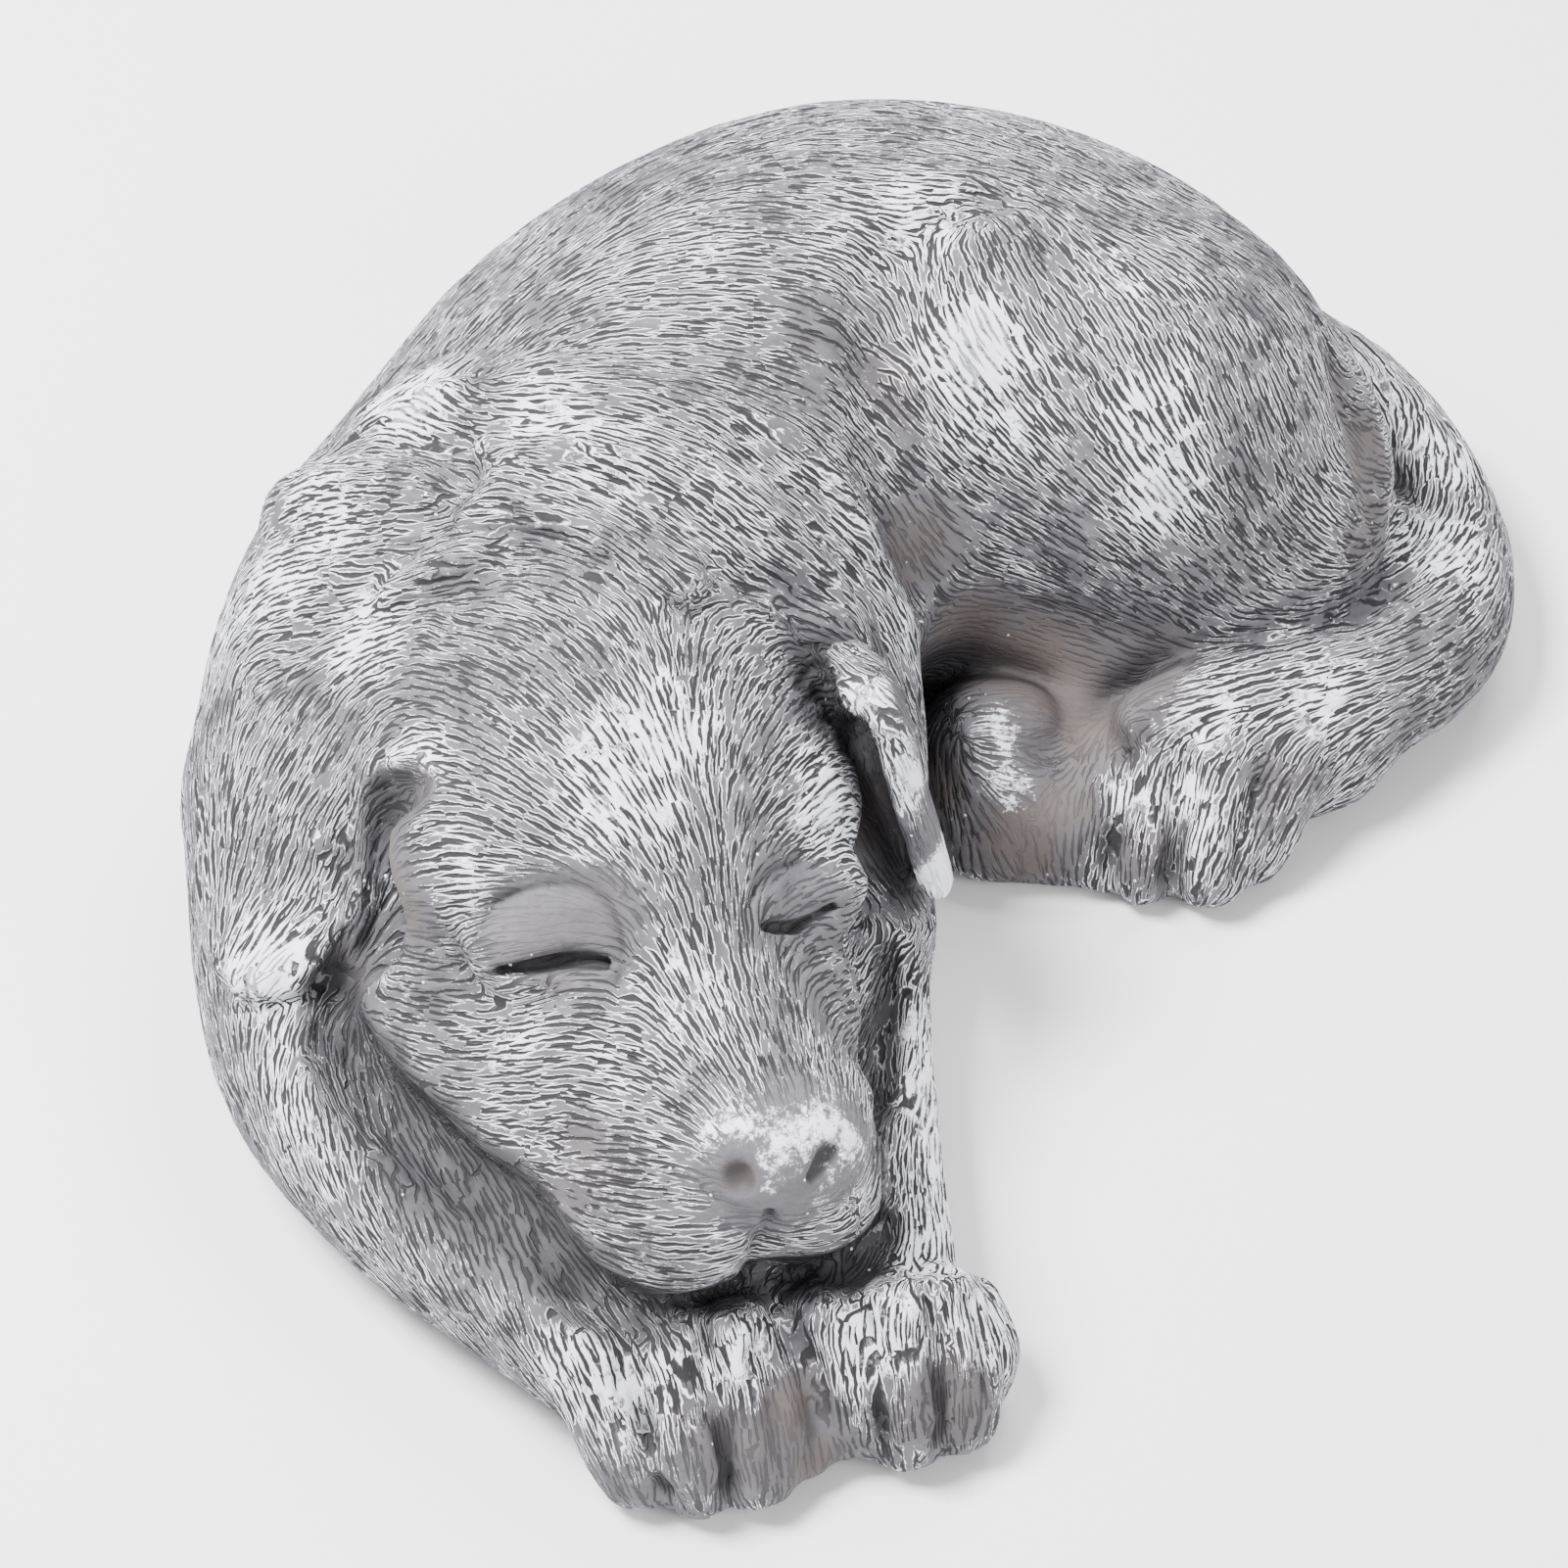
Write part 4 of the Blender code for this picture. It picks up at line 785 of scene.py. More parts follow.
COMBED: dict[str, Sequence[Rows]] = {
    "back": (
        ((-40, 33, 60), (-36, 42, 59), (-28, 46, 61), (-14, 47, 63), (1, 49, 63)),
        ((-36, 50, 57), (-32, 55, 58), (-28, 61, 58), (-23, 64, 58), (-11, 68, 60), (2, 74, 59)),
        ((-40, 29, 61), (-34, 35, 60), (-22, 36, 62), (-11, 36, 61), (2, 38, 56)),
        ((-38, 26, 62), (-27, 21, 63), (-16, 23, 61), (-5, 22, 55), (2, 24, 47)),
        ((-5, 75, 58), (7, 74, 59), (19, 69, 60), (31, 64, 58), (42, 58, 55), (53, 56, 48)),
        ((-5, 59, 63), (4, 57, 63), (13, 57, 62), (20, 57, 61), (31, 54, 59), (40, 53, 57)),
        ((-5, 49, 63), (1, 47, 62), (5, 45, 59)),
        ((-5, 37, 60), (0, 36, 57), (5, 34, 52)),
        ((-5, 24, 56), (0, 22, 51), (4, 24, 42), (7, 23, 34)),
        ((-5, 12, 53), (0, 14, 44), (4, 11, 38), (7, 5, 31)),
        ((-44, 43, 54), (-42, 48, 54), (-39, 47, 57)),
        ((-48, 37, 54), (-46, 43, 53), (-43, 43, 55)),
        ((-55, 30, 52), (-53, 33, 54), (-49, 34, 55)),
    ),
    "neck": (
        ((-42, 17, 58), (-37, 19, 61), (-30, 17, 63), (-22, 17, 62), (-15, 14, 60), (-9, 10, 55),
         (-4, 8, 49)),
        ((-50, 29, 56), (-46, 24, 57), (-43, 18, 58)),
        ((-58, 23, 52), (-51, 18, 57), (-43, 15, 58)),
        ((-67, 23, 39), (-60, 20, 49), (-52, 16, 55), (-44, 14, 58)),
        ((-69, 17, 37), (-61, 12, 46), (-54, 8, 51), (-46, 6, 55), (-40, 6, 58)),
        ((-74, 6, 28), (-71, 13, 33), (-68, 17, 39)),
        ((-66, 9, 41), (-58, 7, 48), (-49, 2, 54), (-44, 2, 57), (-37, 5, 57)),
        ((-36, 7, 59), (-30, 5, 61), (-25, 4, 60), (-21, 3, 59)),
        ((-38, 17, 62), (-39, 12, 61), (-38, 8, 60)),
        ((-19, 14, 61), (-14, 10, 57), (-9, 8, 53), (-3, 8, 48)),
        ((-14, 21, 59), (-6, 19, 53), (2, 15, 42)),
        ((-33, 10, 62), (-27, 9, 61), (-23, 6, 60)),
    ),
    "crown": (
        ((-46, -5, 54), (-40, -7, 56), (-35, -10, 58), (-29, -15, 58), (-24, -20, 56)),
        ((-39, 0, 56), (-33, -1, 58), (-28, -4, 57), (-24, -10, 57), (-20, -17, 56)),
        ((-26, 1, 58), (-24, -5, 57), (-20, -15, 56), (-17, -26, 53), (-15, -34, 48),
         (-12, -43, 43), (-11, -55, 42)),
        ((-8, 6, 49), (-13, 1, 52), (-17, -9, 55), (-19, -17, 56)),
        ((-3, -2, 54), (-8, 1, 48), (-12, -7, 52), (-16, -18, 54)),
        ((-43, -5, 55), (-39, -10, 57), (-33, -15, 58), (-27, -21, 57), (-22, -27, 54), (-17, -33, 49)),
        ((-45, -11, 55), (-41, -15, 56), (-35, -22, 56), (-30, -26, 54), (-25, -30, 51),
         (-19, -36, 49)),
        ((-46, -26, 51), (-42, -26, 53), (-36, -29, 52), (-30, -29, 49), (-25, -32, 49)),
        ((-33, -5, 58), (-27, -12, 58), (-23, -20, 56), (-19, -27, 53), (-16, -32, 49)),
        ((-6, -2, 53), (-10, -2, 50), (-14, -13, 54), (-16, -21, 53)),
        ((-3, -6, 42), (-7, -15, 47), (-11, -21, 47), (-15, -31, 49)),
        ((0, -14, 41), (-5, -19, 44), (-10, -25, 44), (-13, -34, 47)),
    ),
    "face": (
        ((-49, -33, 37), (-44, -36, 42), (-40, -37, 45)),
        ((-51, -37, 32), (-46, -41, 33), (-41, -43, 35), (-34, -47, 40), (-27, -46, 42)),
        ((-48, -44, 30), (-43, -47, 32), (-35, -51, 37), (-29, -51, 40), (-23, -52, 41),
         (-17, -55, 42), (-13, -58, 41)),
        ((-25, -43, 43), (-19, -48, 43), (-15, -54, 42), (-12, -58, 41)),
        ((-42, -51, 30), (-35, -54, 33), (-27, -57, 37), (-19, -60, 39)),
        ((-28, -64, 33), (-22, -66, 34), (-16, -65, 35)),
        ((-28, -67, 29), (-22, -69, 28), (-16, -69, 27), (-11, -67, 27)),
        ((-8, -66, 28), (-4, -63, 23), (1, -61, 25)),
        ((-9, -47, 42), (-9, -56, 41)),
        ((-3, -42, 36), (-5, -55, 40)),
        ((1, -45, 31), (-1, -54, 36)),
        ((-10, -40, 42), (-8, -46, 41), (-7, -52, 41)),
        ((2, -25, 21), (-2, -38, 35), (-6, -41, 39)),
        ((-38, -38, 46), (-33, -37, 47), (-28, -37, 46)),
        ((-35, -44, 41), (-31, -44, 42), (-27, -43, 43)),
        ((-8, -32, 43), (-5, -29, 41), (-2, -27, 40)),
        ((-13, -36, 46), (-11, -43, 43), (-10, -49, 42)),
        ((-17, -37, 47), (-16, -43, 44), (-13, -51, 43)),
    ),
    "left ear": (
        ((-45, -8, 55), (-51, -5, 52), (-56, -5, 51), (-60, -8, 49), (-63, -15, 47), (-65, -19, 43)),
        ((-46, -14, 54), (-51, -12, 54), (-56, -14, 53), (-59, -17, 50), (-62, -20, 46),
         (-64, -24, 39), (-64, -26, 34)),
        ((-49, -19, 53), (-52, -20, 53), (-56, -22, 50), (-58, -24, 46), (-60, -26, 40),
         (-60, -28, 35)),
        ((-55, -28, 40), (-58, -29, 35), (-62, -31, 29)),
    ),
    "right ear": (
        ((-1, 0, 42), (4, -11, 50), (7, -14, 44), (9, -17, 38), (11, -19, 29)),
        ((-2, -5, 54), (1, -7, 53), (5, -7, 49)),
    ),
    "left foreleg": (
        ((-73, 5, 30), (-73, -3, 27), (-73, -11, 24), (-71, -22, 21), (-69, -34, 19), (-64, -45, 16)),
        ((-57, -33, 26), (-62, -38, 24)),
        ((-63, -40, 22), (-62, -48, 14)),
        ((-56, -41, 25), (-55, -50, 21), (-52, -56, 18)),
        ((-49, -46, 26), (-48, -52, 23), (-46, -58, 21)),
        ((-42, -56, 24), (-40, -62, 22), (-38, -68, 18)),
        ((-34, -65, 23), (-32, -69, 21), (-30, -74, 18)),
        ((-37, -68, 19), (-35, -71, 17), (-32, -75, 14)),
        ((-23, -72, 20), (-20, -77, 16), (-19, -83, 10)),
        ((-13, -71, 21), (-12, -77, 16), (-11, -82, 9)),
        ((-8, -71, 16), (-6, -76, 12), (-5, -79, 7)),
        ((-28, -76, 17), (-26, -80, 13), (-24, -83, 8)),
    ),
    "right foreleg": (
        ((6, -27, 18), (5, -37, 19), (3, -54, 29), (3, -59, 25)),
        ((9, -37, 16), (8, -48, 18), (9, -56, 17), (10, -63, 18)),
        ((5, -56, 20), (2, -62, 18), (-1, -66, 18)),
        ((3, -67, 21), (3, -73, 15), (4, -77, 8)),
        ((10, -65, 19), (11, -71, 15), (11, -76, 9)),
        ((14, -65, 17), (16, -67, 12), (17, -70, 9)),
    ),
    "thigh": (
        ((15, 56, 61), (10, 49, 60), (8, 43, 58), (9, 36, 54), (12, 31, 48)),
        ((16, 55, 61), (18, 48, 60), (20, 44, 58), (25, 38, 54), (29, 32, 51), (33, 28, 47),
         (38, 26, 41)),
        ((10, 41, 58), (15, 36, 54), (20, 33, 51), (23, 30, 48)),
        ((10, 33, 51), (16, 30, 47), (22, 28, 44), (28, 25, 41), (36, 24, 33), (41, 25, 25)),
        ((21, 55, 61), (26, 47, 58), (30, 39, 56), (33, 33, 53), (37, 28, 47), (44, 26, 36),
         (49, 27, 28)),
        ((31, 53, 59), (38, 46, 58), (42, 39, 54), (44, 34, 50), (47, 31, 43), (53, 30, 33),
         (58, 32, 28)),
        ((42, 53, 57), (49, 47, 53), (52, 42, 48), (55, 39, 42), (59, 37, 34), (62, 39, 28)),
        ((15, 28, 43), (22, 26, 39), (31, 24, 36), (37, 24, 29), (43, 25, 22)),
    ),
    "tail": (
        ((63, 71, 25), (70, 69, 19), (75, 63, 16), (79, 55, 14), (79, 41, 15), (76, 30, 13),
         (71, 23, 12)),
        ((67, 67, 22), (67, 62, 20), (63, 45, 32)),
        ((73, 63, 18), (69, 56, 17), (65, 42, 24)),
        ((76, 51, 16), (70, 43, 17), (64, 37, 18)),
        ((77, 40, 16), (69, 34, 18), (59, 29, 18), (50, 23, 20), (38, 18, 20)),
        ((76, 32, 15), (65, 24, 18), (52, 19, 20), (40, 17, 20), (34, 15, 20)),
        ((73, 25, 12), (65, 19, 14), (52, 15, 17)),
    ),
    "hind feet": (
        ((31, 12, 14), (30, 5, 11), (30, 3, 5)),
        ((37, 10, 15), (36, 4, 12), (35, 0, 7)),
        ((45, 9, 16), (43, 3, 13), (42, 0, 9)),
        ((53, 12, 15), (50, 6, 11), (48, 3, 8)),
        ((62, 16, 14), (57, 12, 10), (54, 7, 6)),
        ((16, 13, 18), (20, 14, 17)),
        ((17, 8, 14), (21, 8, 13)),
        ((11, 13, 16), (11, 10, 12), (12, 7, 7)),
        ((16, 25, 22), (23, 25, 21), (31, 23, 18)),
    ),
    "far side": (
        ((-74, 20, 24), (-66, 46, 24), (-46, 70, 24), (-16, 88, 24), (16, 92, 24), (44, 84, 24)),
        ((-66, 22, 42), (-56, 48, 42), (-36, 70, 44), (-12, 82, 46), (12, 84, 48), (34, 76, 50)),
        ((-70, 12, 8), (-62, 46, 8), (-38, 74, 8), (-10, 88, 8), (20, 90, 8), (48, 78, 8)),
        ((56, 76, 34), (62, 72, 22), (68, 66, 12)),
        ((-74, -2, 12), (-70, -26, 10), (-60, -42, 8)),
    ),
}

BRUSHED: Rows = (
    (-14, -61, 38, 4, 0.85), (-11, -60, 40, 4, 0.85), (-7, -60, 41, 4, 0.85), (-9, -64, 36, 4, 0.7),
    (-2, -59, 40, 4, 0.85), (1, -60, 37, 4, 0.8), (-15, -64, 34, 3, 0.7), (-5, -65, 34, 4, 0.55),
    (9, -30, 16, 7, 0.75), (10, -38, 15, 7, 0.8), (11, -45, 14, 7, 0.75), (12, -53, 14, 7, 0.6),
    *((x, y, z, 2.6, 0.9) for x, y, z, _ in Head.left_rim),
    (-2, -18, 42, 7, 1.0), (-8, -62, 40, 6, 0.75), (-1, -60, 38, 5, 0.7), (14, 37, 55, 8, 1.0),
    (17, 32, 50, 7, 0.8), (35, 32, 51, 6, 0.9), (36, 27, 44, 6, 0.9), (29, 45, 58, 6, 0.4),
    (42, 16, 20, 7, 0.7), (55, 19, 19, 7, 0.5), (72, 43, 17, 7, 0.8), (74, 57, 17, 6, 0.7),
    (67, 64, 22, 6, 0.4), (-24, -78, 14, 6, 0.9), (-18, -75, 18, 6, 0.7), (-11, -75, 17, 6, 0.7),
    (3, -71, 17, 6, 0.8), (14, -68, 14, 6, 0.9), (9, -61, 17, 6, 0.9), (-55, -25, 47, 5, 1.0),
    (-47, -21, 52, 4, 1.0), (-62, -30, 28, 6, 1.2), (-64, -27, 34, 5, 0.7), (-52, -1, 50, 6, 0.8),
    (1, -11, 51, 5, 1.0), (6, -16, 43, 5, 1.0), (11, -18, 30, 4, 1.2), (-59, 19, 50, 7, 0.8),
    (-49, 29, 57, 6, 1.0), (-33, 21, 62, 6, 0.6), (-26, 15, 63, 7, 0.7), (-14, 15, 60, 8, 0.5),
    (-19, -19, 55, 7, 0.7), (-24, -26, 55, 7, 0.7), (-26, -29, 51, 5, 0.6), (-32, -33, 48, 6, 0.45),
    (-40, -35, 49, 5, 0.45), (-58, -45, 23, 8, 0.6), (-27, -75, 18, 7, 0.7), (19, 14, 18, 4, 1.0),
    (20, 8, 13, 4, 1.0), (32, 10, 13, 4, 0.7), (40, 5, 12, 6, 0.7), (1, 16, 46, 7, 0.5),
    (7, 15, 34, 5, 0.6), (-17, -44, 44, 6, 0.5), (-24, -51, 40, 6, 0.4), (-36, -45, 39, 6, 0.4),
    (-71, 14, 35, 7, 0.6), (-64, 13, 43, 8, 0.6), (2, 49, 63, 8, 0.5), (9, 53, 61, 6, 0.8),
    (-18, 40, 62, 9, 0.4), (6, -24, 19, 5, 0.5), (-5, -4, 53, 6, 0.5), (-34, -57, 31, 6, 0.5),
    (-1, -62, 27, 5, 0.4), (-12, -66, 33, 5, 0.3),
)

WASHED: Rows = (
    *((x, y, z, 3.0, 0.6) for x, y, z, _ in Head.left_hollow),
    (-34, -39, 47, 5, 0.35), (-28, -38, 48, 5, 0.35), (-31, -42, 43, 4, 0.3),
    (23, 23, 16, 9, 1.0), (15, 25, 23, 6, 0.9), (30, 17, 15, 7, 0.9), (36, 20, 19, 6, 0.6),
    (-50, -27, 44, 4, 0.9), (-48, -32, 42, 4, 0.9), (2, -9, 29, 4, 0.9), (26, 7, 12, 4, 0.9),
    (21, 4, 8, 6, 0.9), (11, 10, 12, 4, 0.9), (8, 25, 37, 5, 0.8), (6, 35, 52, 4, 0.7),
    (61, 43, 33, 5, 0.8), (57, 46, 40, 4, 0.6), (62, 37, 27, 5, 0.6), (-6, -77, 12, 4, 0.9),
    (-11, -81, 11, 5, 0.5), (11, -74, 11, 6, 0.6), (-4, -79, 5, 4, 0.8), (-12, -65, 38, 2, 1.0),
    (-17, -79, 15, 4, 0.4), (27, 45, 57, 5, 0.3), (-29, -61, 35, 6, 0.5), (-9, 35, 60, 9, 0.25),
    (36, 2, 10, 4, 0.6), (53, 9, 13, 6, 0.4), (-46, -14, 54, 5, 0.3), (-5, -64, 24, 4, 0.3),
)

BARE: Rows = (
    *((x, y, z, 3.2, 0.1) for x, y, z, _ in Head.left_hollow),
    (-9, -64, 38, 8, 0.0), (-2, -61, 38, 7.5, 0.0), (-34, -39, 47, 6, 0.2), (-28, -38, 48, 6, 0.2), (-5, -30, 42, 5, 0.6),
    (4, -9, 47, 4, 0.3), (8, -14, 42, 4.5, 0.3), (10, -16, 34, 5, 0.3), (11, -18, 28, 4, 0.3),
    (-50, -27, 44, 5, 0.15), (-48, -32, 42, 5, 0.15), (2, -9, 29, 6, 0.3), (23, 23, 16, 9, 0.15), (15, 25, 23, 7, 0.3),
    (30, 17, 15, 7, 0.3), (36, 20, 19, 6, 0.4), (26, 7, 12, 4, 0.3), (20, 14, 17, 5, 0.35), (20, 8, 12, 5, 0.35),
    (21, 4, 8, 6, 0.3), (8, 25, 37, 5, 0.4), (61, 43, 33, 4, 0.5), (-6, -77, 12, 4, 0.3), (-4, -79, 5, 5, 0.3),
    (-12, -81, 9, 6, 0.5), (11, -74, 11, 6, 0.6), (-22, -82, 9, 6, 0.6),
)


class Socket:
    """A shader value with Python's arithmetic: each operator adds one Math node."""

    def __init__(self, shader: "Shader", link: Any) -> None:
        """Wraps an output socket or a plain number."""
        self.shader = shader
        self.link = link

    def _math(self, operation: str, *values: Any) -> "Socket":
        """A Math node on the values."""
        return self.shader.node("ShaderNodeMath", {"operation": operation}, dict(enumerate(values)))

    def __add__(self, other: Any) -> "Socket":
        """Sum."""
        return self._math("ADD", self, other)

    def __radd__(self, other: Any) -> "Socket":
        """Sum, reflected."""
        return self._math("ADD", other, self)

    def __sub__(self, other: Any) -> "Socket":
        """Difference."""
        return self._math("SUBTRACT", self, other)

    def __rsub__(self, other: Any) -> "Socket":
        """Difference, reflected."""
        return self._math("SUBTRACT", other, self)

    def __mul__(self, other: Any) -> "Socket":
        """Product."""
        return self._math("MULTIPLY", self, other)

    def __rmul__(self, other: Any) -> "Socket":
        """Product, reflected."""
        return self._math("MULTIPLY", other, self)

    def __truediv__(self, other: Any) -> "Socket":
        """Quotient."""
        return self._math("DIVIDE", self, other)

    def __abs__(self) -> "Socket":
        """Size without sign."""
        return self._math("ABSOLUTE", self)

    def floor(self) -> "Socket":
        """The whole number below."""
        return self._math("FLOOR", self)

    def most(self, other: Any) -> "Socket":
        """The larger of two."""
        return self._math("MAXIMUM", self, other)

    def least(self, other: Any) -> "Socket":
        """The smaller of two."""
        return self._math("MINIMUM", self, other)

    def part(self, name: str) -> "Socket":
        """One channel of a colour: Red, Green or Blue."""
        return self.shader.node("ShaderNodeSeparateColor", {}, {"Color": self}, name)

    def clamp(self) -> "Socket":
        """The value kept between 0 and 1."""
        return self.shader.node("ShaderNodeClamp", {}, {"Value": self})

    def band(self, low: float, high: float) -> "Socket":
        """0 below low, 1 above high, and a smooth step between."""
        return self.shader.node(
            "ShaderNodeMapRange",
            {"interpolation_type": "SMOOTHSTEP"},
            {"Value": self, "From Min": low, "From Max": high, "To Min": 0.0, "To Max": 1.0},
        )


class Shader:
    """Adds nodes to one material."""

    def __init__(self, name: str) -> None:
        """Starts a material with its Principled shader.

        Args:
            name: The material's name.
        """
        self.material = bpy.data.materials.new(name)
        self.material.use_nodes = True
        self.tree = self.material.node_tree
        self.principled = self.tree.nodes["Principled BSDF"]

    def node(self, kind: str, settings: dict[str, Any], values: dict[Any, Any], output: Any = 0) -> Socket:
        """Adds a node.

        Args:
            kind: The node's type.
            settings: Its properties, set first.
            values: Numbers, colours or Sockets for its inputs, by name or place.
            output: Which output is wanted.

        Returns:
            That output.
        """
        node = self.tree.nodes.new(kind)
        for name, value in settings.items():
            setattr(node, name, value)
        for key, value in values.items():
            self.feed(node.inputs[key], value)
        return Socket(self, node.outputs[output])

    def feed(self, target: Any, value: Any) -> None:
        """Links a Socket to an input, or sets a plain value on it."""
        if isinstance(value, Socket):
            self.tree.links.new(value.link, target)
        else:
            target.default_value = value

    def attribute(self, name: str, output: str = "Fac") -> Socket:
        """A number, or with the output "Vector" a vector, stored on the mesh."""
        return self.node("ShaderNodeAttribute", {"attribute_name": name}, {}, output)

    def noise(self, place: Socket, size: float, detail: float = 3.0, roughness: float = 0.55) -> Socket:
        """Noise between 0 and 1 whose patches are about size millimetres wide."""
        values = {"Vector": place, "Scale": 1.0 / size, "Detail": detail, "Roughness": roughness}
        return self.node("ShaderNodeTexNoise", {}, values, "Fac")

    def cells(self, place: Socket, size: float) -> tuple[Socket, Socket, Socket]:
        """Scattered cells about size millimetres wide: distance to the middle, its place, a random colour."""
        node = self.node("ShaderNodeTexVoronoi", {}, {"Vector": place, "Scale": 1.0 / size}, "Distance")
        outputs = node.link.node.outputs
        return node, Socket(self, outputs["Position"]), Socket(self, outputs["Color"])

    def vector(self, operation: str, output: str, *values: Any) -> Socket:
        """A Vector Math node on the values."""
        return self.node("ShaderNodeVectorMath", {"operation": operation}, dict(enumerate(values)), output)

    def mix(self, share: Any, first: Any, second: Any) -> Socket:
        """A colour between two, by a share."""
        return self.node("ShaderNodeMix", {"data_type": "RGBA"}, {"Factor": share, 6: first, 7: second}, 2)


Colour = tuple[float, float, float, float]


@dataclass(frozen=True)
class StrokeLayer:
    """One layer of short cut strokes, which lie in scattered cells along the combing.

    Lengths are in millimetres; line is the half width of a stroke as a share of half the spacing.
    """

    cell: float
    spacing: float
    length: float
    line: float
    shift: Row

    def draw(self, shader: Shader, place: Socket, along: Socket, across: Socket) -> tuple[Socket, Socket]:
        """Adds the layer's nodes.

        Args:
            shader: The material.
            place: Object coordinates in millimetres.
            along: The combing.
            across: The direction across it, in the skin.

        Returns:
            How deep each place is in a stroke, in 0 to 1, and how far it stands clear of the nearest one.
        """
        moved = shader.vector("ADD", "Vector", place, self.shift)
        _, middle, colour = shader.cells(moved, self.cell)
        gap = shader.vector("SUBTRACT", "Vector", moved, middle)
        side = shader.vector("DOT_PRODUCT", "Value", gap, across)
        run = shader.vector("DOT_PRODUCT", "Value", gap, along)
        wobble = shader.noise(moved, 1.6, 1.0) - 0.5
        row = (side + wobble * 0.5) / self.spacing + colour.part("Red") * 7.0
        index = row.floor()
        seed = shader.node(
            "ShaderNodeCombineXYZ", {}, {0: index, 1: colour.part("Green") * 91.0, 2: colour.part("Blue") * 37.0}
        )
        chance = shader.node("ShaderNodeTexWhiteNoise", {"noise_dimensions": "3D"}, {"Vector": seed}, "Color")
        off_line = abs(row - index - 0.5 - 0.36 * (chance.part("Red") - 0.5)) * 2.0
        reach = (0.45 + 0.55 * chance.part("Green")) * (0.5 * self.length)
        share = abs(run - (chance.part("Blue") - 0.5) * (0.7 * self.length)) / reach
        clear = off_line - (1.0 - share * share) * self.line
        return 1.0 - clear.band(-0.14, 0.10), clear


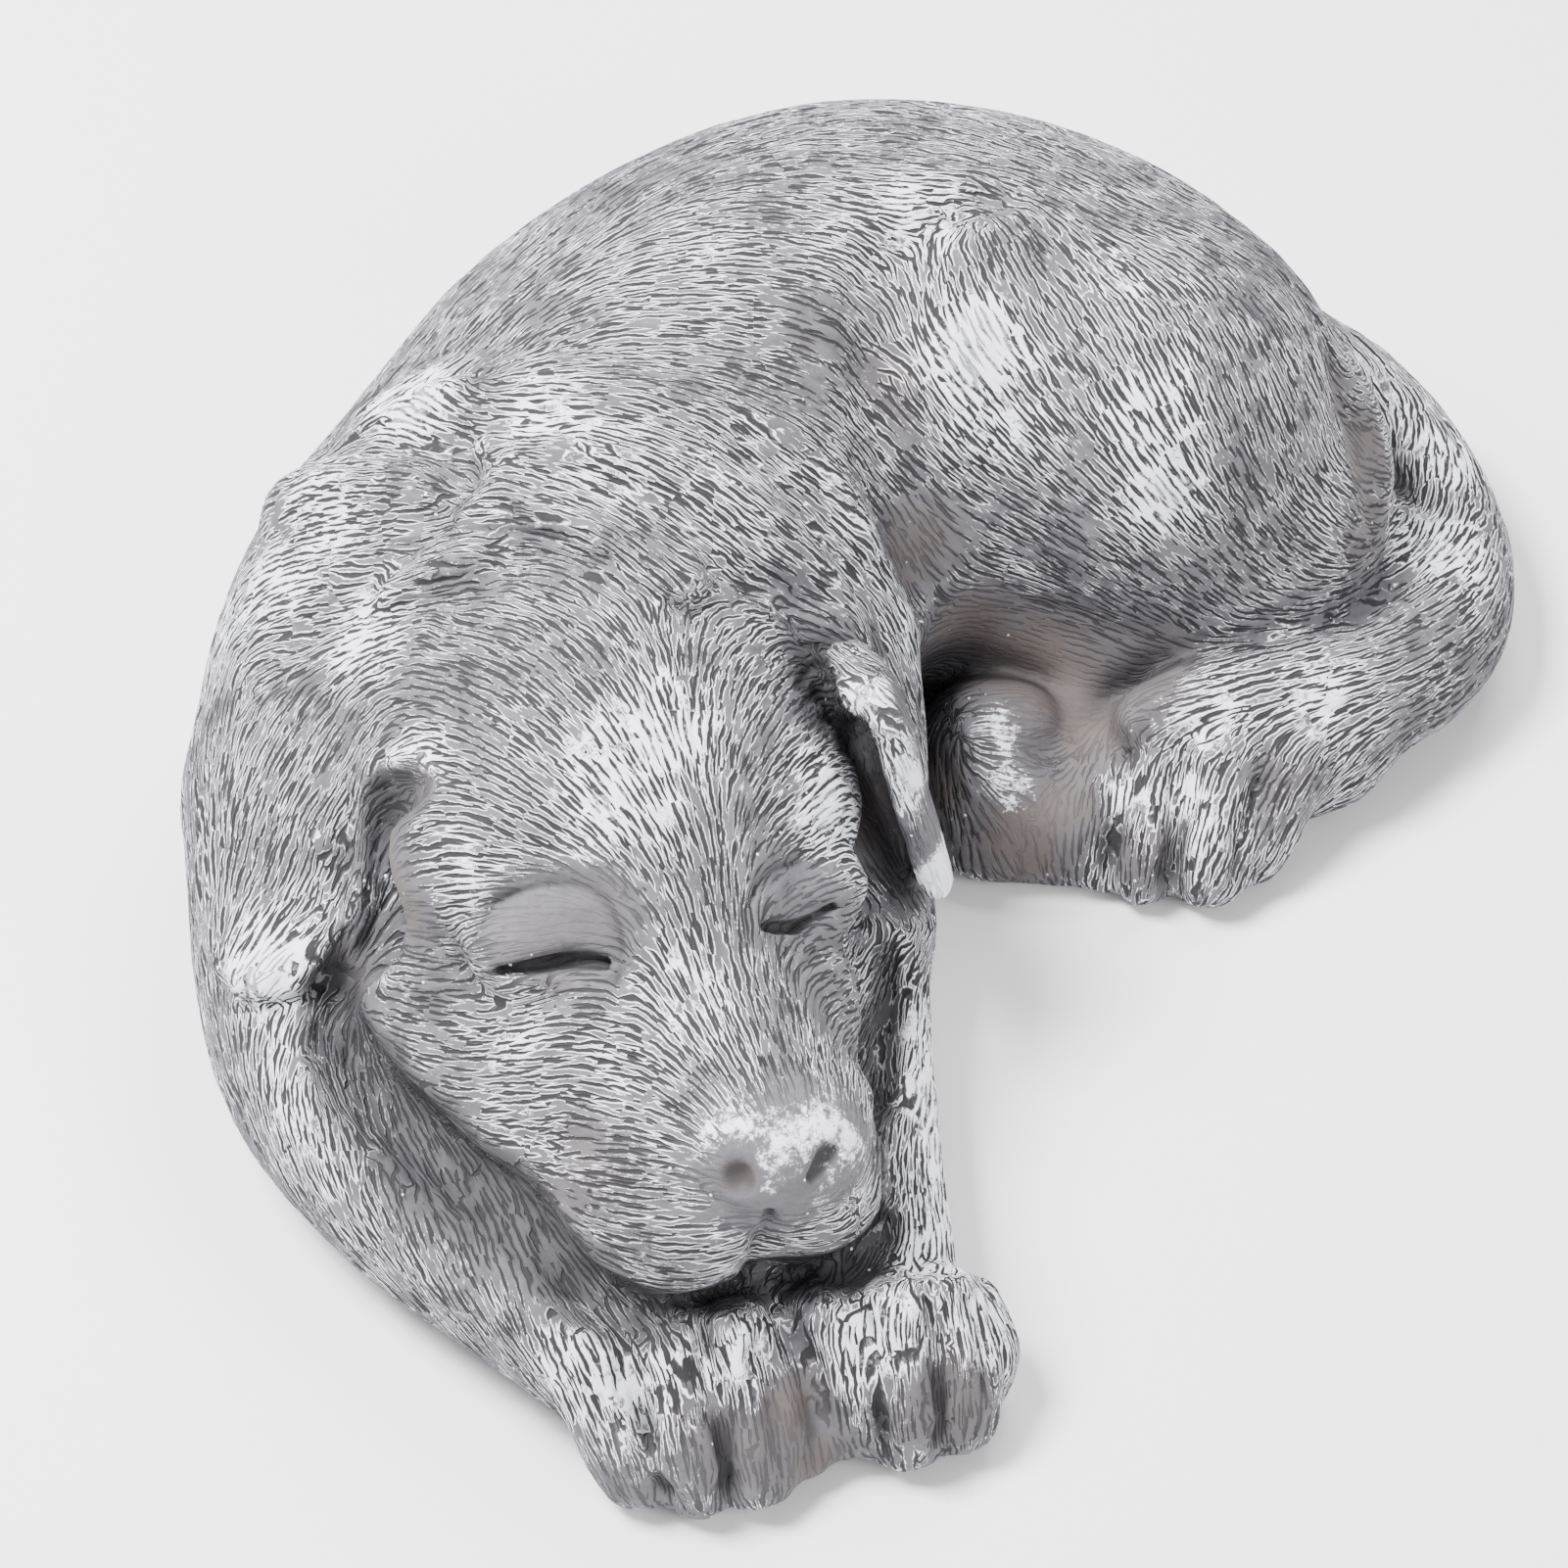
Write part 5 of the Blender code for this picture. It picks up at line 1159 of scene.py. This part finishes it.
@dataclass(frozen=True)
class StoneFinish:
    """Grey cast resin, dark in the cuts from dark paint and painted shade, dry-brushed white on the ridges, washed
    brown in the hollows, with painted shade in the hollows and the narrow lines.
    """

    name: str = "painted_stone_resin"
    # dark: the cuts' dark paint with painted shade in them, and painted shade in the hollows.
    dark: Colour = (0.014, 0.013, 0.016, 1.0)
    grey: Colour = (0.080, 0.077, 0.090, 1.0)
    pale: Colour = (0.165, 0.162, 0.186, 1.0)
    white: Colour = (0.88, 0.885, 0.95, 1.0)
    brown: Colour = (0.085, 0.066, 0.056, 1.0)
    # black: painted shade in the narrow cuts; also the black pin specks.
    black: Colour = (0.008, 0.008, 0.010, 1.0)
    layers: tuple[StrokeLayer, ...] = (
        StrokeLayer(cell=6.0, spacing=0.92, length=7.6, line=0.36, shift=(300.0, 300.0, 300.0)),
        StrokeLayer(cell=4.8, spacing=1.10, length=5.8, line=0.30, shift=(517.0, 641.0, 433.0)),
    )

    def build(self) -> bpy.types.Material:
        """Makes the material.

        Returns:
            The material, which reads the values stored on the mesh.
        """
        shader = Shader(self.name)
        coordinates = shader.node("ShaderNodeTexCoord", {}, {}, "Object")
        place = shader.vector("SCALE", "Vector", coordinates)
        shader.feed(place.link.node.inputs["Scale"], 1000.0)
        along = shader.attribute("along", "Vector")
        across = shader.attribute("across", "Vector")
        lock = shader.attribute("stroke")
        coat = shader.attribute("coat")
        brush = shader.attribute("brush")
        wash = shader.attribute("wash")
        hollow_shade = shader.attribute("hollow_shade")
        cut_shade = shader.attribute("line")
        broad = shader.noise(place, 16.0, 3.0)
        patchy = shader.noise(place, 4.5, 4.0, 0.6)
        fine = shader.noise(place, 0.9, 3.0, 0.6)
        grit = shader.noise(place, 0.30, 2.0)

        drawn = [layer.draw(shader, place, along, across) for layer in self.layers]
        groove = drawn[0][0].most(drawn[1][0]) * coat
        clear = drawn[0][1].least(drawn[1][1])
        lip = clear.band(0.08, 0.16) * (1.0 - clear.band(0.24, 0.50)) * coat
        ridge = clear.band(0.14, 0.40) * coat + (0.55 - 0.55 * coat)

        tone = (0.45 + 0.20 * lock + 1.2 * (fine - 0.5) + 1.3 * (patchy - 0.5)).clamp()
        colour = shader.mix(tone * 0.7, self.grey, self.pale)
        colour = shader.mix((wash * (0.80 + 1.2 * (patchy - 0.5))).clamp(), colour, self.brown)
        load = 0.95 * brush + 1.0 * (broad - 0.5) + 1.3 * (patchy - 0.5) - 0.5 * hollow_shade - 0.5 * wash
        speckle = 0.7 * (fine - 0.5) + 0.5 * (grit - 0.5)
        thin = (lip * 0.75 + load * 0.8 + speckle).band(0.58, 0.80)
        full = (ridge * 0.40 + load + speckle).band(0.78, 1.06)
        touched = thin.most(full)
        colour = shader.mix(touched * 0.92, colour, self.white)
        # Dark in the stroke cuts: the cuts' dark paint and painted shade, lighter where the white is brushed on fully.
        colour = shader.mix((groove * (0.95 - 0.30 * full)).clamp(), colour, self.dark)
        # Painted shade in the hollows and gaps, darker where the skin is more shut in.
        colour = shader.mix((hollow_shade.band(0.25, 0.85) * 0.75).clamp(), colour, self.dark)
        # Painted shade in the narrow cuts of the eyes, lids, nostrils and mouth, and between the toes.
        colour = shader.mix((cut_shade * 0.9).clamp(), colour, self.black)

        spot, _, chance = shader.cells(place, 2.4)
        lucky = chance.part("Red").band(0.70, 0.72)
        colour = shader.mix((1.0 - spot.band(0.05, 0.09)) * lucky, colour, self.white)
        pin = (1.0 - spot.band(0.09, 0.14)) * chance.part("Green").band(0.975, 0.98)
        colour = shader.mix(pin, colour, self.black)

        shader.feed(shader.principled.inputs["Base Color"], colour)
        shader.feed(shader.principled.inputs["Roughness"], (0.66 - 0.12 * touched + 0.15 * groove).clamp())
        rise = grit * 0.10 + fine * 0.25 - groove + ridge * 0.15 - pin
        bump = shader.node(
            "ShaderNodeBump", {}, {"Strength": 0.9, "Distance": 0.00028, "Height": rise}, "Normal"
        )
        shader.feed(shader.principled.inputs["Normal"], bump)
        shader.principled.inputs["Specular IOR Level"].default_value = 0.4
        return shader.material


@dataclass(frozen=True)
class SharpLine:
    """A narrow cut along a line of the clay.

    rows are x, y, z and half width in millimetres; width scales the half width; depth is in millimetres; dark is
    how strongly the cut is blackened as painted shade.
    """

    rows: Rows
    depth: float
    width: float = 0.6
    dark: float = 0.9


SHARP_LINES: tuple[SharpLine, ...] = (
    SharpLine(Head.lines[0][0], 1.7, 0.75, 1.0),
    SharpLine(Head.lines[1][0], 1.2, 0.7, 1.0),
    SharpLine(Head.lines[2][0], 0.6, 0.4, 0.6),
    SharpLine(Head.lines[3][0], 0.5, 0.35, 0.45),
    SharpLine(Head.lines[4][0], 0.9, 0.9, 0.5),
    SharpLine(Head.lines[5][0], 0.9, 0.9, 0.75),
    SharpLine(Head.lines[7][0], 0.8, 0.5, 0.8),
    SharpLine(Head.lines[8][0], 0.8, 0.6, 0.85),
    *(SharpLine(rows, 0.7, 0.45, 0.75) for rows, _ in Forelegs.clefts + HindFeet.clefts),
)


@dataclass(frozen=True)
class FigurePiece:
    """The dressed figure as one mesh."""

    puppy: Puppy = Puppy()
    most_triangles: int = 198000
    levels: int = 2

    def opening(self, points: np.ndarray, normals: np.ndarray) -> np.ndarray:
        """How shut in each place is, which sets the painted shade in the hollows: 1 less the mean of field(p + d n) / d
        for some d, kept in 0 to 1.
        """
        shut = np.zeros(len(points))
        for distance in (2.5, 6.0):
            free = self.puppy.field(points + distance * normals) / distance
            shut += 0.5 * (1 - np.clip(free, 0.0, 1.0))
        return shut

    def deep_places(self, points: np.ndarray) -> np.ndarray:
        """Where shade is painted in the gaps beside the jaw and behind the left ear's rim: 1 there, fading out beside
        them.
        """
        head = self.puppy.head
        best = np.zeros(len(points))
        for rows, spread in ((head.jaw_gaps[0][0], 2.1), (head.jaw_gaps[1][0], 1.8), (head.left_hollow, 1.5)):
            gaps, radii = Tube(rows).measure(points)
            best = np.maximum(best, np.clip(spread - gaps / radii, 0.0, 1.0))
        return best

    def patches(self, points: np.ndarray, rows: Rows) -> np.ndarray:
        """The strongest of some round soft patches at each point."""
        best = np.zeros(len(points))
        for x, y, z, radius, strength in rows:
            gap = np.linalg.norm(points - (x, y, z), axis=1) / radius
            best = np.maximum(best, strength * np.clip(1.5 - gap, 0.0, 1.0))
        return best

    def sharp_lines(self, points: np.ndarray) -> tuple[np.ndarray, np.ndarray]:
        """Cuts that are too fine for the clay's grid: the depth at each point, and how dark its painted shade is."""
        depth = np.zeros(len(points))
        dark = np.zeros(len(points))
        for line in SHARP_LINES:
            tube = Tube(line.rows)
            box = ((points > tube.low - 1.0) & (points < tube.high + 1.0)).all(1)
            at = np.flatnonzero(box)
            gaps, radii = tube.measure(points[at])
            share = np.clip(1.0 - (gaps / (line.width * radii)) ** 2, 0.0, 1.0)
            depth[at] = np.maximum(depth[at], line.depth * share)
            dark[at] = np.maximum(dark[at], line.dark * np.clip(1.6 * share, 0.0, 1.0))
        return depth, dark

    def build(self, finish: StoneFinish) -> bpy.types.Object:
        """Stretches the skin, cuts the coat, thins the mesh out and paints it.

        Args:
            finish: The finish.

        Returns:
            The piece, in metres, at the origin.
        """
        puppy = self.puppy
        values = puppy.sample()
        puppy.part_corners(values)
        points, quads = puppy.skin(values)
        LOG.info("skin of %d points", len(points))
        mesh = bpy.data.meshes.new("skin")
        mesh.from_pydata(points.tolist(), [], quads.tolist())
        normals = read(mesh, "normal")
        coat = Coat(COMBED, BARE, puppy.low, puppy.cell)
        combing = coat.comb_near(values)
        along = coat.combed_at(points, combing)
        along = along - (along * normals).sum(1)[:, None] * normals
        along /= np.linalg.norm(along, axis=1)[:, None] + 1e-6
        store(mesh, "along", along)
        store(mesh, "across", np.cross(normals, along))
        LOG.info("coat combed")
        # Painted shade: how shut in each place is, and the gaps beside the jaw and behind the left ear's rim.
        store(mesh, "hollow_shade", np.maximum(self.opening(points, normals), self.deep_places(points)))
        store(mesh, "brush", self.patches(points, BRUSHED))
        store(mesh, "wash", self.patches(points, WASHED))
        store(mesh, "coat", coat.amount(points))
        fine = self.refined(mesh)
        points, normals = read(fine, "co"), read(fine, "normal")
        LOG.info("fine skin of %d points", len(points))
        stroke = coat.strokes(points, combing)
        LOG.info("coat cut")
        amount = stored(fine, "coat")
        foot = np.clip(points[:, 2] / 2.0, 0.0, 1.0)
        depth, dark = self.sharp_lines(points)
        rise = (coat.relief(stroke) * amount - depth) * foot
        store(fine, "stroke", stroke * amount + 0.3 * (1 - amount))
        # How dark the painted shade in the narrow cuts is.
        store(fine, "line", dark)
        points = points + normals * rise[:, None]
        points[:, 2] = np.where(points[:, 2] < 0.35, 0.0, points[:, 2])
        fine.vertices.foreach_set("co", ((points - MIDDLE) * METRE).astype(np.float32).ravel())
        fine.update()
        piece = self.thinned(fine)
        piece.data.materials.clear()
        piece.data.materials.append(finish.build())
        return piece

    def refined(self, mesh: bpy.types.Mesh) -> bpy.types.Mesh:
        """The mesh with each face split finer, rounded by subdivision."""
        holder = bpy.data.objects.new("skin", mesh)
        bpy.context.scene.collection.objects.link(holder)
        split = holder.modifiers.new("split", "SUBSURF")
        split.levels = split.render_levels = self.levels
        fine = bpy.data.meshes.new_from_object(holder.evaluated_get(bpy.context.evaluated_depsgraph_get()))
        bpy.data.objects.remove(holder)
        bpy.data.meshes.remove(mesh)
        return fine

    def thinned(self, fine: bpy.types.Mesh) -> bpy.types.Object:
        """The mesh with the faces that matter least merged, as the finished piece."""
        holder = bpy.data.objects.new("fine_skin", fine)
        bpy.context.scene.collection.objects.link(holder)
        thin = holder.modifiers.new("thin", "DECIMATE")
        thin.ratio = self.most_triangles / (2 * len(fine.polygons))
        mesh = bpy.data.meshes.new_from_object(holder.evaluated_get(bpy.context.evaluated_depsgraph_get()))
        bpy.data.objects.remove(holder)
        bpy.data.meshes.remove(fine)
        mesh.name = "puppy_coat"
        mesh.shade_smooth()
        piece = bpy.data.objects.new("puppy_coat", mesh)
        bpy.context.scene.collection.objects.link(piece)
        return piece


def read(mesh: bpy.types.Mesh, what: str) -> np.ndarray:
    """The mesh's vertex places or normals as rows.

    Args:
        mesh: The mesh.
        what: "co" or "normal".

    Returns:
        An array with three columns.
    """
    values = np.empty(len(mesh.vertices) * 3, np.float32)
    mesh.vertices.foreach_get(what, values)
    return values.reshape(-1, 3).astype(float)


def store(mesh: bpy.types.Mesh, name: str, values: np.ndarray) -> None:
    """Keeps a number or a vector for each vertex under a name that materials can read."""
    if values.ndim == 2:
        layer = mesh.attributes.new(name, "FLOAT_VECTOR", "POINT")
        layer.data.foreach_set("vector", values.astype(np.float32).ravel())
    else:
        layer = mesh.attributes.new(name, "FLOAT", "POINT")
        layer.data.foreach_set("value", values.astype(np.float32))


def stored(mesh: bpy.types.Mesh, name: str) -> np.ndarray:
    """The numbers kept under a name."""
    values = np.empty(len(mesh.vertices), np.float32)
    mesh.attributes[name].data.foreach_get("value", values)
    return values.astype(float)


class LightKind(Enum):
    """Which part a studio light plays."""

    KEY = "key"
    FILL = "fill"
    TOP = "top"


@dataclass(frozen=True)
class Lamp:
    """One soft box.

    place and size are in metres, power is in watts.
    """

    kind: LightKind
    place: Row
    size: float
    power: float


@dataclass(frozen=True)
class Studio:
    """Pale floor, soft light, and the camera."""

    elevation: float = 50.0
    distance: float = 0.600
    target: Row = (-0.007, -0.001, 0.025)
    picture: int = 1601
    focal_pixels: float = 5400.0
    sensor: float = 36.0
    floor_colour: Colour = (0.90, 0.90, 0.90, 1.0)
    world_strength: float = 0.62
    lamps: tuple[Lamp, ...] = (
        Lamp(LightKind.KEY, (-0.38, 0.02, 0.72), 0.30, 23.0),
        Lamp(LightKind.FILL, (0.50, -0.45, 0.45), 0.4, 4.0),
        Lamp(LightKind.TOP, (0.15, 0.45, 0.7), 0.4, 6.0),
    )

    def add_camera(self) -> None:
        """Places the camera at the photograph's viewing angle."""
        rise = np.radians(self.elevation)
        back = Vector((0.0, -np.cos(rise), np.sin(rise)))
        right = Vector((1.0, 0.0, 0.0))
        up = back.cross(right)
        camera = bpy.data.cameras.new("camera")
        camera.sensor_width = self.sensor
        camera.lens = self.focal_pixels * self.sensor / self.picture
        camera.clip_start = 0.01
        holder = bpy.data.objects.new("camera", camera)
        place = Vector(self.target) - Vector(MIDDLE * METRE) + back * self.distance
        turned = Matrix((right, up, back)).transposed().to_4x4()
        holder.matrix_world = Matrix.Translation(place) @ turned
        bpy.context.scene.collection.objects.link(holder)
        bpy.context.scene.camera = holder

    def add_lamps(self) -> None:
        """Hangs the soft boxes, each turned to the figure."""
        for lamp in self.lamps:
            light = bpy.data.lights.new(lamp.kind.value, "AREA")
            light.size = lamp.size
            light.energy = lamp.power
            holder = bpy.data.objects.new(lamp.kind.value, light)
            aim = Vector((0.0, 0.0, 0.02)) - Vector(lamp.place)
            holder.rotation_euler = aim.to_track_quat("-Z", "Y").to_euler()
            holder.location = lamp.place
            bpy.context.scene.collection.objects.link(holder)
        world = bpy.data.worlds.new("studio")
        world.use_nodes = True
        world.node_tree.nodes["Background"].inputs["Color"].default_value = (1.0, 1.0, 1.0, 1.0)
        world.node_tree.nodes["Background"].inputs["Strength"].default_value = self.world_strength
        bpy.context.scene.world = world

    def add_floor(self) -> None:
        """Lays a pale floor whose far side curves up into a backdrop."""
        across = np.linspace(-3.0, 3.0, 2)
        bend = np.radians(np.linspace(0.0, 90.0, 16))
        run = np.concatenate([[-3.0], 1.5 + 0.6 * np.sin(bend), [2.1]])
        rise = np.concatenate([[0.0], 0.6 - 0.6 * np.cos(bend), [3.0]])
        x, y = np.meshgrid(across, run)
        z = np.repeat(rise[:, None], 2, 1)
        points = np.stack([x, y, z], -1).reshape(-1, 3)
        row = np.arange(len(run) - 1)[:, None] * 2
        quads = row + np.array([0, 1, 3, 2])
        mesh = bpy.data.meshes.new("floor")
        mesh.from_pydata(points.tolist(), [], quads.tolist())
        mesh.shade_smooth()
        floor = bpy.data.objects.new("floor", mesh)
        bpy.context.scene.collection.objects.link(floor)
        shader = Shader("pale_floor")
        shader.principled.inputs["Base Color"].default_value = self.floor_colour
        shader.principled.inputs["Roughness"].default_value = 0.8
        mesh.materials.append(shader.material)


def main() -> None:
    logging.basicConfig(level=logging.INFO, format="%(relativeCreated)6.0f ms %(message)s")
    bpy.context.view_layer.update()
    piece = FigurePiece().build(StoneFinish())
    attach(piece, "root")
    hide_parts("sleeping_puppy")
    LOG.info("puppy_coat: %d triangles", len(piece.data.polygons))
    studio = Studio()
    studio.add_floor()
    studio.add_lamps()
    studio.add_camera()
    LOG.info("floor, lamps and camera")


if __name__ == "__main__":
    main()
